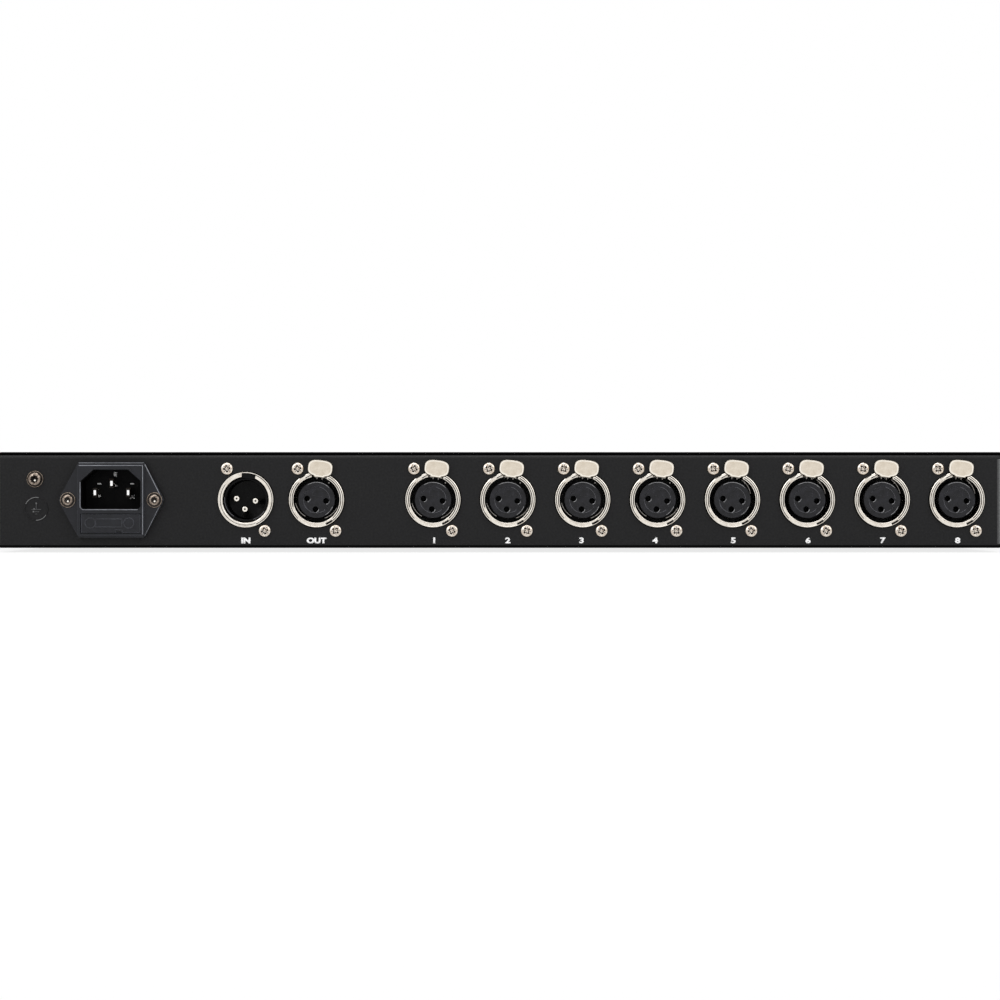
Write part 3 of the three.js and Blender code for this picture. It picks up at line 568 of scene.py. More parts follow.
def rounded(left: float, right: float, bottom: float, top: float, radius: float, steps: int = 8) -> Outline:
    """A rectangle with rounded corners.

    Args:
        left: Its left edge.
        right: Its right edge.
        bottom: Its lower edge.
        top: Its upper edge.
        radius: The radius of its corners.
        steps: Into how many steps each corner is divided.

    Returns:
        The rectangle's points.
    """
    return (
        arc(right - radius, bottom + radius, radius, -90, 0, steps)
        + arc(right - radius, top - radius, radius, 0, 90, steps)
        + arc(left + radius, top - radius, radius, 90, 180, steps)
        + arc(left + radius, bottom + radius, radius, 180, 270, steps)
    )


def swept(start: tuple, control: tuple, end: tuple, steps: int = 8) -> Outline:
    """Points of a parabola from start to end that leans towards its control point, without its start.

    Args:
        start: The point where it starts.
        control: The point that it leans towards.
        end: The point where it ends.
        steps: Into how many steps it is divided.

    Returns:
        The points after the start, up to the end.
    """
    shares = [(i + 1) / steps for i in range(steps)]
    return [
        tuple((1 - t) ** 2 * a + 2 * t * (1 - t) * b + t * t * c for a, b, c in zip(start, control, end))
        for t in shares
    ]


# Meshes, drawn in millimetres with X across, Y inwards and Z up


def enter(name: str, data: bpy.types.ID) -> Piece:
    """Sets a new object into the scene, at the origin.

    Args:
        name: Its name.
        data: Its mesh, curve, lamp or camera.

    Returns:
        The object.
    """
    piece = bpy.data.objects.new(name, data)
    bpy.context.scene.collection.objects.link(piece)
    return piece


def thicken(mesh: bmesh.types.BMesh, depth: float) -> None:
    """Draws a flat mesh out to a plate.

    Args:
        mesh: The mesh.
        depth: How far it is drawn along Y.
    """
    grown = bmesh.ops.extrude_face_region(mesh, geom=mesh.faces[:])["geom"]
    drawn = [part for part in grown if isinstance(part, bmesh.types.BMVert)]
    bmesh.ops.translate(mesh, vec=(0, depth, 0), verts=drawn)


def stand(name: str, mesh: bmesh.types.BMesh) -> Piece:
    """Makes a piece of a mesh that was drawn in millimetres.

    Args:
        name: The piece's name.
        mesh: The mesh, which is used up.

    Returns:
        The new piece, at the origin.
    """
    bmesh.ops.recalc_face_normals(mesh, faces=mesh.faces)
    bmesh.ops.scale(mesh, vec=(MM, MM, MM), verts=mesh.verts)
    data = bpy.data.meshes.new(name)
    mesh.to_mesh(data)
    mesh.free()
    return enter(name, data)


def turned(name: str, profile: Outline, steps: int = 96) -> Piece:
    """Turns a closed profile of (radius, depth) points round the Y axis.

    Args:
        name: The piece's name.
        profile: The profile's points, as radius and depth.
        steps: Into how many faces a full turn is divided.

    Returns:
        The turned piece, with sharp edges.
    """
    mesh = bmesh.new()
    rings = []
    for radius, depth in profile:
        if radius < 1e-6:
            rings.append([mesh.verts.new((0, depth, 0))])
            continue
        rings.append([mesh.verts.new((x, depth, z)) for x, z in disc(0, 0, radius, steps)])
    for ring, following in zip(rings, rings[1:] + rings[:1]):
        if len(ring) == len(following) == 1:
            continue
        for i in range(steps):
            turns = ((ring, i), (ring, i + 1), (following, i + 1), (following, i))
            corners = [loop[k % len(loop)] for loop, k in turns]
            mesh.faces.new(list(dict.fromkeys(corners)))
    return stand(name, mesh)


def slab(name: str, outline: Outline, near: float, far: float, holes: list[Outline] | None = None) -> Piece:
    """A flat plate between two depths.

    Args:
        name: The piece's name.
        outline: Its outer edge.
        near: The depth of its outer face.
        far: The depth of its inner face.
        holes: The edges of the openings through it.

    Returns:
        The plate, with sharp edges.
    """
    mesh = bmesh.new()
    edges = []
    for loop in [outline, *(holes or [])]:
        corners = [mesh.verts.new((x, near, z)) for x, z in loop]
        edges += [mesh.edges.new(pair) for pair in zip(corners, corners[1:] + corners[:1])]
    bmesh.ops.triangle_fill(mesh, use_beauty=True, edges=edges)
    thicken(mesh, far - near)
    return stand(name, mesh)


def brick(name: str, left: float, right: float, near: float, far: float, bottom: float, top: float) -> Piece:
    """A block between six faces."""
    return slab(name, [(left, bottom), (right, bottom), (right, top), (left, top)], near, far)


def bar(name: str, outline: Outline, left: float, right: float, hollow: Outline | None = None) -> Piece:
    """A bar along X with an outline of (depth, z) points, hollow where asked.

    Args:
        name: The piece's name.
        outline: Its section.
        left: The X where it starts.
        right: The X where it ends.
        hollow: The section of its cavity.

    Returns:
        The bar, with sharp edges.
    """
    piece = slab(name, outline, left, right, [hollow] if hollow else None)
    piece.data.transform(Matrix(((0, 1, 0, 0), (1, 0, 0, 0), (0, 0, 1, 0), (0, 0, 0, 1))))
    piece.data.flip_normals()
    return piece


def hold(piece: Piece, coating: Coating, slot: int = 1) -> None:
    """Gives one of a piece's material slots a finish, and leaves those before it for later.

    Args:
        piece: The piece.
        coating: The finish.
        slot: The number of the material slot, from zero.
    """
    while len(piece.data.materials) <= slot:
        piece.data.materials.append(None)
    piece.data.materials[slot] = coating.material()


def settle(piece: Piece) -> None:
    """Applies a piece's modifiers to its mesh.

    Args:
        piece: The piece, whose modifiers are gone afterwards.
    """
    graph = bpy.context.evaluated_depsgraph_get()
    graph.update()
    evaluated = piece.evaluated_get(graph)
    data = bpy.data.meshes.new_from_object(evaluated, preserve_all_data_layers=True, depsgraph=graph)
    spent = piece.data
    piece.modifiers.clear()
    piece.data = data
    bpy.data.meshes.remove(spent)


def clear_away(piece: Piece) -> None:
    """Deletes a piece and its mesh.

    Args:
        piece: The piece, which doesn't exist afterwards.
    """
    data = piece.data
    bpy.data.objects.remove(piece)
    if data.users == 0:
        bpy.data.meshes.remove(data)


def combine(piece: Piece, tools: list[Piece], operation: str = "DIFFERENCE") -> Piece:
    """Cuts tools out of a piece, or welds them on, and uses them up.

    Args:
        piece: The piece that is worked on.
        tools: The tools, which are used up.
        operation: What is done with them.

    Returns:
        The same piece.
    """
    for tool in tools:
        step = piece.modifiers.new("combine", "BOOLEAN")
        step.operation = operation
        step.solver = "EXACT"
        step.material_mode = "TRANSFER"
        step.object = tool
    settle(piece)
    for tool in tools:
        clear_away(tool)
    return piece


def soften(
    piece: Piece, width: float, segments: int = 2, angle: float = 35.0, edge: Coating | None = None
) -> Piece:
    """Rounds every edge sharper than an angle in degrees, and shades the rest smooth.

    Args:
        piece: The piece whose edges are rounded.
        width: How far the rounding reaches from the edge.
        segments: How many steps the rounding has.
        angle: Edges that bend less than this stay as they are.
        edge: The second finish, which the roundings get.

    Returns:
        The same piece.
    """
    piece.data.polygons.foreach_set("use_smooth", [True] * len(piece.data.polygons))
    step = piece.modifiers.new("edges", "BEVEL")
    step.width = width * MM
    step.segments = segments
    step.limit_method = "ANGLE"
    step.angle_limit = angle * DEGREE
    step.harden_normals = True
    if edge:
        hold(piece, edge)
        step.material = 1
    settle(piece)
    return piece


def smooth(piece: Piece, angle: float = 35.0) -> Piece:
    """Shades a piece smooth except over edges sharper than an angle in degrees.

    Args:
        piece: The piece.
        angle: The angle, in degrees, above which an edge stays sharp.

    Returns:
        The same piece.
    """
    piece.data.polygons.foreach_set("use_smooth", [True] * len(piece.data.polygons))
    piece.data.set_sharp_from_angle(angle=angle * DEGREE)
    return piece


def gather(piece: Piece, others: list[Piece]) -> Piece:
    """Lays other pieces' meshes into one piece, each where it stands, and uses them up.

    Args:
        piece: The piece that takes the others.
        others: The others, which are used up.

    Returns:
        The same piece.
    """
    mesh = bmesh.new()
    mesh.from_mesh(piece.data)
    for other in others:
        other.data.transform(other.matrix_basis)
        mesh.from_mesh(other.data)
        clear_away(other)
    mesh.to_mesh(piece.data)
    mesh.free()
    return piece


def inlay(piece: Piece, coating: Coating, parts: list[Piece], slot: int = 1) -> Piece:
    """Lays parts into a piece in another finish than its own.

    Args:
        piece: The piece that takes the parts.
        coating: The parts' finish.
        parts: The parts, which are used up.
        slot: The material slot that holds their finish.

    Returns:
        The same piece.
    """
    hold(piece, coating, slot)
    for part in parts:
        part.data.polygons.foreach_set("material_index", [slot] * len(part.data.polygons))
    return gather(piece, parts)


def ribbon(name: str, path: Outline, width: float, near: float, far: float) -> Piece:
    """A thin band along a path.

    Args:
        name: The piece's name.
        path: The points of its middle line.
        width: How wide it is.
        near: The depth of its outer face.
        far: The depth of its inner face.

    Returns:
        The band, with rounded edges.
    """
    left, right = [], []
    for i, (x, z) in enumerate(path):
        (x0, z0), (x1, z1) = path[max(i - 1, 0)], path[min(i + 1, len(path) - 1)]
        run = math.hypot(x1 - x0, z1 - z0)
        across, up = (z0 - z1) / run * width / 2, (x1 - x0) / run * width / 2
        left.append((x + across, z + up))
        right.append((x - across, z - up))
    return soften(slab(name, left + right[::-1], near, far), min(width, far - near) * 0.25, 2)


def tapered(name: str, sections: list[tuple[float, float, float]]) -> Piece:
    """A block whose width and height change along its depth.

    Args:
        name: The piece's name.
        sections: Half the width, half the height and the depth of each rectangle along it.

    Returns:
        The block, with sharp edges.
    """
    mesh = bmesh.new()
    loops = [
        [mesh.verts.new((x * wide, depth, z * tall)) for x, z in ((1, 1), (-1, 1), (-1, -1), (1, -1))]
        for wide, tall, depth in sections
    ]
    mesh.faces.new(loops[0])
    mesh.faces.new(loops[-1])
    for near, far in zip(loops, loops[1:]):
        for i in range(4):
            j = (i + 1) % 4
            mesh.faces.new((near[i], near[j], far[j], far[i]))
    return stand(name, mesh)


def moved(piece: Piece, x: float, depth: float, z: float) -> Piece:
    """Moves a piece's mesh, in millimetres."""
    piece.data.transform(Matrix.Translation(Vector((x, depth, z)) * MM))
    return piece


def spun(piece: Piece, angle: float) -> Piece:
    """Turns a piece's mesh round the Y axis by an angle in degrees."""
    piece.data.transform(Matrix.Rotation(angle * DEGREE, 4, "Y"))
    return piece


def copied(piece: Piece, name: str) -> Piece:
    """Another piece with the same mesh."""
    return enter(name, piece.data)


def lettered(name: str, text: str, height: float, stretch: float = 1.3, weight: float = 0.03) -> Piece:
    """Plain printed characters, centred, facing outwards.

    Args:
        name: The piece's name.
        text: The characters.
        height: How tall they are.
        stretch: How much wider than their natural width.
        weight: How much bolder, as a share of their size.

    Returns:
        The characters as a thin film of ink whose back is at depth zero.
    """
    curve = bpy.data.curves.new(name, "FONT")
    curve.body = text
    curve.offset = weight
    curve.resolution_u = 5
    writing = enter(name, curve)
    graph = bpy.context.evaluated_depsgraph_get()
    data = bpy.data.meshes.new_from_object(writing.evaluated_get(graph))
    bpy.data.objects.remove(writing)
    bpy.data.curves.remove(curve)
    xs = [v.co.x for v in data.vertices]
    ys = [v.co.y for v in data.vertices]
    scale = height * MM / (max(ys) - min(ys))
    middle = Vector(((max(xs) + min(xs)) / 2, (max(ys) + min(ys)) / 2, 0))
    upright = Matrix.Rotation(math.pi / 2, 4, "X")
    data.transform(upright @ Matrix.Diagonal((scale * stretch, scale, 1, 1)) @ Matrix.Translation(-middle))
    data.name = name
    mesh = bmesh.new()
    mesh.from_mesh(data)
    thicken(mesh, -FILM * MM)
    bmesh.ops.recalc_face_normals(mesh, faces=mesh.faces)
    mesh.to_mesh(data)
    mesh.free()
    return enter(name, data)


# Places


def on_wall(x: float, z: float, turn: float = 0.0) -> Matrix:
    """A place on the connector wall: X right, Y inwards and Z up as the wall is read."""
    return Matrix.Translation(Vector((x, WALL, MIDDLE + z)) * MM) @ Matrix.Rotation(turn * DEGREE, 4, "Y")


def on_panel(x: float, z: float) -> Matrix:
    """A place on the front panel, whose own X runs to the right as that panel is read."""
    return Matrix.Translation(Vector((x, PANEL_FACE, MIDDLE + z)) * MM) @ Matrix.Rotation(math.pi, 4, "Z")


def beside(place: Matrix, x: float, depth: float, z: float) -> Matrix:
    """A place shifted from another one, along that one's own axes."""
    return place @ Matrix.Translation(Vector((x, depth, z)) * MM)


def hand_over(
    piece: Piece, place: Matrix, coating: Coating, nodes: tuple = (), body: str = HOUSING
) -> Piece:
    """Sets a piece in place, dresses it, and tells the frame what it belongs to.

    Args:
        piece: The finished piece.
        place: Where it stands.
        coating: Its finish.
        nodes: The CAD nodes that it stands for.
        body: The CAD body that it rides on.

    Returns:
        The same piece.
    """
    piece.matrix_world = place
    hold(piece, coating, 0)
    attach(piece, body)
    if nodes:
        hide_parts(*nodes)
    log.info("%s rides on %s in %s", piece.name, body, coating.value.name)
    return piece


# Sub-assemblies


@dataclass
class RecessedScrew:
    """A pan-head screw with a cross recess, and a plain washer where it has one."""

    head: float
    rise: float
    shank: float
    length: float
    washer: float = 0.0
    washer_rise: float = 0.0
    nut: float = 0.0
    nut_rise: float = 0.0
    grip: float = 0.0

    # Shares of the head's radius, and of its rise from the seat, for the recess and its marks
    arm_reach: float = 0.7
    mouth_flare: float = 1.1
    tick_start: float = 0.3
    tick_end: float = 0.74
    cut_top: float = 1.2
    cross_bottom: float = 0.3
    tick_bottom: float = 0.76
    tick_width: float = 0.22

    # How wide and how deep a recess is: the worn one of a washered screw, and the common one
    wide_cross: Pair = (0.42, 0.25)
    plain_cross: Pair = (0.2, 0.45)
    embedded: float = 0.1
    flat_inner: float = 0.7
    rim_width: float = 0.36
    # Where the painted glint sits in a washered screw's recess, across and up, and its radius
    glint: tuple[float, float, float] = (0.25, -0.55, 0.4)

    def cross(self, seat: float, width: float, floor_share: float, dark: Coating, pale: Coating) -> Piece:
        """Makes the tapering cross that the driver goes into, as a tool that cuts it.

        Args:
            seat: The depth of the head's seat.
            width: Half the width of its slots, as a share of the head's radius.
            floor_share: The size of its floor, as a share of its mouth's.
            dark: The finish of its walls, a painted shade.
            pale: The finish of its floor, which in washered screws is a painted highlight.

        Returns:
            The tool.
        """
        reach, half = self.head * self.arm_reach, self.head * width
        mesh = bmesh.new()
        star = [
            (half, half), (half, reach), (-half, reach), (-half, half), (-reach, half), (-reach, -half),
            (-half, -half), (-half, -reach), (half, -reach), (half, -half), (reach, -half), (reach, half),
        ]
        top, bottom = seat - self.rise * self.cut_top, seat - self.rise * self.cross_bottom
        mouth = [mesh.verts.new((x * self.mouth_flare, top, z * self.mouth_flare)) for x, z in star]
        floor = [mesh.verts.new((x * floor_share, bottom, z * floor_share)) for x, z in star]
        mesh.faces.new(mouth)
        mesh.faces.new(floor).material_index = 1
        for i in range(len(star)):
            j = (i + 1) % len(star)
            mesh.faces.new((mouth[i], mouth[j], floor[j], floor[i]))
        tool = stand("cross", mesh)
        hold(tool, dark, 0)
        hold(tool, pale)
        return tool

    def ticks(self, seat: float, dark: Coating) -> list[Piece]:
        """Makes the four shallow marks between the arms of the cross, as tools that cut them.

        Args:
            seat: The depth of the head's seat.
            dark: Their finish, a painted shade.

        Returns:
            The tools.
        """
        tools = []
        top, bottom = seat - self.rise * self.cut_top, seat - self.rise * self.tick_bottom
        start, end, half = self.head * self.tick_start, self.head * self.tick_end, self.tick_width / 2
        for angle in (45, 135, 225, 315):
            tick = brick("tick", start, end, top, bottom, -half, half)
            hold(tick, dark, 0)
            tools.append(spun(tick, angle))
        return tools

    def build(self, name: str, angle: float = 0.0, coating: Coating = Coating.SCREW) -> Piece:
        """Makes the screw, its seat at depth zero.

        Args:
            name: Its name.
            angle: How far its recess is turned, in degrees.
            coating: The finish that it will get.

        Returns:
            The screw, with its washer and nut where it has them.
        """
        seat = -self.washer_rise
        dome = [
            (self.head * math.sin(a * DEGREE), seat - self.rise * (0.4 + 0.6 * math.cos(a * DEGREE)))
            for a in range(0, 91, 10)
        ]
        body = turned(name, [*dome, (self.head, seat), (0, seat)], 48)
        hold(body, coating, 0)
        if self.washer:
            # Painted shade on the recess's walls and a painted highlight on its floor.
            combine(body, [self.cross(seat, *self.wide_cross, Coating.ZINC_SHADE, Coating.SCREW)])
        else:
            # Painted shade in the recess and its marks.
            dark = Coating.SHADED if coating is Coating.BLACK_SCREW else Coating.RECESS
            combine(body, [self.cross(seat, *self.plain_cross, dark, coating), *self.ticks(seat, dark)])
        soften(body, 0.05, 2, 30)
        top = seat - self.embedded
        outline = [(0, top), (self.shank, top), (self.shank, self.length), (0, self.length)]
        parts = [soften(turned("shank", outline, 24), 0.05)]
        if self.washer:
            inner, outer, sunk = self.head * self.flat_inner, self.washer, seat + self.washer_rise * 0.5
            edge = outer - self.rim_width
            rim = [(edge, 0), (edge, seat + 0.1), (edge + 0.1, seat), (outer - 0.1, seat)]
            parts.append(soften(turned("rim", [*rim, (outer, seat + 0.15), (outer, 0)], 48), 0.05))
            # The washer's flat inside its rim gets painted shade.
            flat = turned("flat", [(inner, sunk), (outer - 0.3, sunk), (outer - 0.3, 0), (inner, 0)], 48)
            inlay(body, Coating.ZINC_SHADE, [flat], 2)
        if self.nut:
            nut = slab("nut", disc(0, 0, self.nut, 6), self.grip, self.grip + self.nut_rise)
            parts.append(soften(nut, 0.1))
        body = spun(gather(body, parts), angle)
        if self.washer:
            # A painted glint in the recess.
            dot = slab("dot", disc(*self.glint, 16), seat - self.rise * 0.72, seat - self.rise * 0.4)
            inlay(body, Coating.BRIGHT_EDGE, [soften(dot, 0.08)], 3)
        return body


@dataclass
class Chassis:
    """The folded tray and the cover folded over it, in powder-coated sheet steel."""

    width: float = 423.6
    height: float = 40.4
    depth: float = 138.0
    tray_sheet: float = 1.2
    cover_sheet: float = 1.0
    bend_inside: float = 0.5
    gap: float = 0.3
    setback: float = 1.8
    flange_height: float = 18.0
    flange_inset: float = 8.0
    cover_screw_rise: float = 12.0
    cover_screw_inset: float = 26.0
    ring_hole: float = 12.0
    bump_place: Pair = (-9.5, 12.0)
    bump_radius: float = 4.1
    notch_width: float = 5.8
    notch_top: float = 12.6
    inlet_hole_width: float = 27.8
    inlet_hole_height: float = 29.8
    return_depth: float = 12.0
    # Where the strips of painted highlight along the wall's right edge start, part and end, inwards from that
    # edge
    rubbed_edge: float = 1.2
    worn_edge: float = 0.5
    edge_end: float = 0.1
    sign_place: Pair = (-195.2, -3.7)
    sign_line: float = 0.45
    sign_rise: float = 0.36
    earth_place: Pair = (-195.7, 8.8)

    def wall_tools(self) -> list[Piece]:
        """Makes the tools that open the connector wall, which leave shaded edges.

        Returns:
            The tools, in the wall's place.
        """
        near, far = -OVERRUN, self.tray_sheet + OVERRUN
        tools = []
        for x in [INPUT_PLACE, LINK_PLACE, *OUTPUT_PLACES]:
            hole = slab("ring_hole", disc(0, 0, self.ring_hole, 72), near, far)
            if x != INPUT_PLACE:
                bump = disc(*self.bump_place, self.bump_radius, 48)
                combine(hole, [slab("bump", bump, near - OVERRUN, far + OVERRUN)])
            tools.append(moved(spun(hole, CONNECTOR_TURN), x, 0, CONNECTOR_RISE))
        half = self.notch_width / 2
        for x in [LINK_PLACE, *OUTPUT_PLACES]:
            notch = brick("latch_notch", -half, half, near, far, 0, self.notch_top)
            tools.append(moved(spun(notch, CONNECTOR_TURN), x, 0, CONNECTOR_RISE))
        half, tall = self.inlet_hole_width / 2, self.inlet_hole_height / 2
        tools.append(moved(brick("inlet_hole", -half, half, near, far, -tall, tall), INLET_PLACE, 0, 0))
        for tool in tools:
            hold(tool, Coating.SHADED, 0)
        return tools

    def build_tray(self) -> Piece:
        """The floor, the two walls and their flanges, folded from one sheet.

        Returns:
            The tray, with its edges rounded and painted as highlights, its openings cut, painted shade under
            its lower bend and strips of painted highlight along its right edge.
        """
        half = self.height / 2
        top = half - self.cover_sheet - self.gap
        reach = self.width / 2 - self.cover_sheet - self.gap
        sheet = self.tray_sheet
        bend = self.bend_inside + sheet
        tray = bar(
            "chassis_sheet",
            rounded(0, self.depth, -half, top, bend, 10),
            -reach,
            reach,
            rounded(sheet, self.depth - sheet, -half + sheet, top - sheet, self.bend_inside, 6),
        )
        near, far = self.return_depth, self.depth - self.return_depth
        low, high = top - sheet - OVERRUN, top + OVERRUN
        opening = brick("lid", -reach - OVERRUN, reach + OVERRUN, near, far, low, high)
        left, right = SWITCH_PLACE - SWITCH_HOLE_WIDTH / 2, SWITCH_PLACE + SWITCH_HOLE_WIDTH / 2
        near, far, tall = self.depth - sheet - OVERRUN, self.depth + OVERRUN, SWITCH_HOLE_HEIGHT / 2
        combine(tray, [opening, brick("switch_hole", left, right, near, far, -tall, tall)])
        # The rounded edges get the painted highlight.
        soften(tray, 0.14, 2, 35, Coating.RUBBED)
        combine(tray, self.wall_tools())
        # The faces of the lower bend at the front of the wall get painted shade.
        slot = tray.data.materials.find(Coating.SHADED.value.name)
        for face in tray.data.polygons:
            if face.center.y < sheet * MM and face.center.z < (-half + sheet) * MM:
                face.material_index = slot
        flanges = []
        for side in (-1, 1):
            edge = side * reach
            left, right = sorted((edge - side * sheet, edge))
            near, far = self.flange_inset, self.depth - self.flange_inset
            flange = brick("flange", left, right, near, far, -half, -half + self.flange_height)
            flanges.append(soften(flange, 0.1))
        gather(tray, flanges)
        # Two strips of painted highlight along the wall's right edge, the outer one brighter.
        low, high = -half + bend, top - bend
        soft_highlight = (Coating.RUBBED, self.rubbed_edge, self.worn_edge)
        bright_highlight = (Coating.WORN_POWDER, self.worn_edge, self.edge_end)
        for coating, left, right in (soft_highlight, bright_highlight):
            strip = brick("strip", reach - left, reach - right, -0.02, 0.1, low, high)
            inlay(tray, coating, [strip], len(tray.data.materials))
        return tray

    def build_cover(self) -> Piece:
        """The top and the two sides.

        Returns:
            The cover, with its edges rounded and painted as highlights, and painted shade on its front raw
            edge.
        """
        half = self.height / 2
        side = self.width / 2
        sheet = self.cover_sheet
        bend = self.bend_inside + sheet
        inner = side - sheet
        under = half - sheet
        small = self.bend_inside
        outline = (
            [(-side, -half), (-inner, -half)]
            + arc(-inner + small, under - small, small, 180, 90, 6)
            + arc(inner - small, under - small, small, 90, 0, 6)
            + [(inner, -half), (side, -half)]
            + arc(side - bend, half - bend, bend, 0, 90, 8)
            + arc(-side + bend, half - bend, bend, 90, 180, 8)
        )
        # The rounded edges get the painted highlight.
        cover = soften(slab("cover_sheet", outline, self.setback, self.depth), 0.12, 2, 35, Coating.RUBBED)
        # The front raw edge gets painted shade.
        hold(cover, Coating.SHADED, 2)
        for face in cover.data.polygons:
            if face.center.y < (self.setback + 0.13) * MM:
                face.material_index = 2
        return cover

    def build_earth_sign(self) -> Piece:
        """Makes the earth sign in its ring, pressed into the wall so that its lines stand proud.

        Returns:
            The sign, its strokes painted lighter as highlights, with brighter painted highlights on two arcs
            of its ring, at the upper left and the lower right, and as three dots.
        """
        line, rise = self.sign_line, self.sign_rise
        section = [(4.55, 0.2), (4.62, -rise * 0.7), (4.82, -rise), (5.02, -rise * 0.7), (5.1, 0.2)]
        ring = turned("earth_sign", section, 96)
        strokes = [brick("stroke", -line / 2, line / 2, -rise, 0.2, -0.3, 2.7)]
        for level, reach in ((-0.3, 2.0), (-1.25, 1.25), (-2.2, 0.5)):
            strokes.append(brick("stroke", -reach, reach, -rise, 0.2, level - line / 2, level + line / 2))
        for stroke in strokes:
            soften(stroke, 0.1, 2)
        # Brighter painted highlights: two arcs on the ring and three dots on the strokes.
        bright_highlight = []
        for left, right in ((78, 156), (-92, -32)):
            outer, inner = arc(0, 0, 4.99, left, right, 24), arc(0, 0, 4.67, right, left, 24)
            bright_highlight.append(soften(slab("bright_highlight", outer + inner, -rise - 0.04, 0.2), 0.08, 2))
        for x, z in ((-0.9, 0.0), (-1.2, -1.2), (0, 2.3)):
            bright_highlight.append(slab("bright_highlight", disc(x, z, 0.32, 12), -rise - 0.04, 0.2))
        # The strokes get the painted highlight.
        inlay(smooth(ring, 60), Coating.RUBBED, strokes)
        return inlay(ring, Coating.WORN_POWDER, bright_highlight, 2)

    def build(self) -> None:
        """Builds and dresses the tray, the cover, their screws and the earth sign."""
        wall = on_wall(0, 0)
        hand_over(self.build_tray(), wall, Coating.POWDER, ("chassis_tray",))
        hand_over(self.build_cover(), wall, Coating.POWDER, ("top_cover",))
        hand_over(self.build_earth_sign(), on_wall(*self.sign_place), Coating.POWDER)
        level = MIDDLE - self.height / 2 + self.cover_screw_rise
        for side, word in ((-1, "left"), (1, "right")):
            for i, y in enumerate((self.cover_screw_inset, self.depth - self.cover_screw_inset), 1):
                fixing = RecessedScrew(head=2.75, rise=1.7, shank=1.5, length=5)
                screw = fixing.build(f"cover_fixing_{word}_{i}", 25.0 * i * side, Coating.BLACK_SCREW)
                spot = Vector((side * self.width / 2, WALL + y, level)) * MM
                place = Matrix.Translation(spot) @ Matrix.Rotation(side * math.pi / 2, 4, "Z")
                node = f"cover_screw_{word}_{i}"
                hand_over(screw, place, Coating.BLACK_SCREW, (node,))
        stud = RecessedScrew(
            head=2.8, rise=2.4, shank=1.9, length=9,
            washer=3.5, washer_rise=0.8, nut=3.8, nut_rise=3.2, grip=1.2,
        )
        earth = stud.build("earth_stud", 20, Coating.ZINC)
        hand_over(earth, on_wall(*self.earth_place), Coating.ZINC, ("earth_screw",))


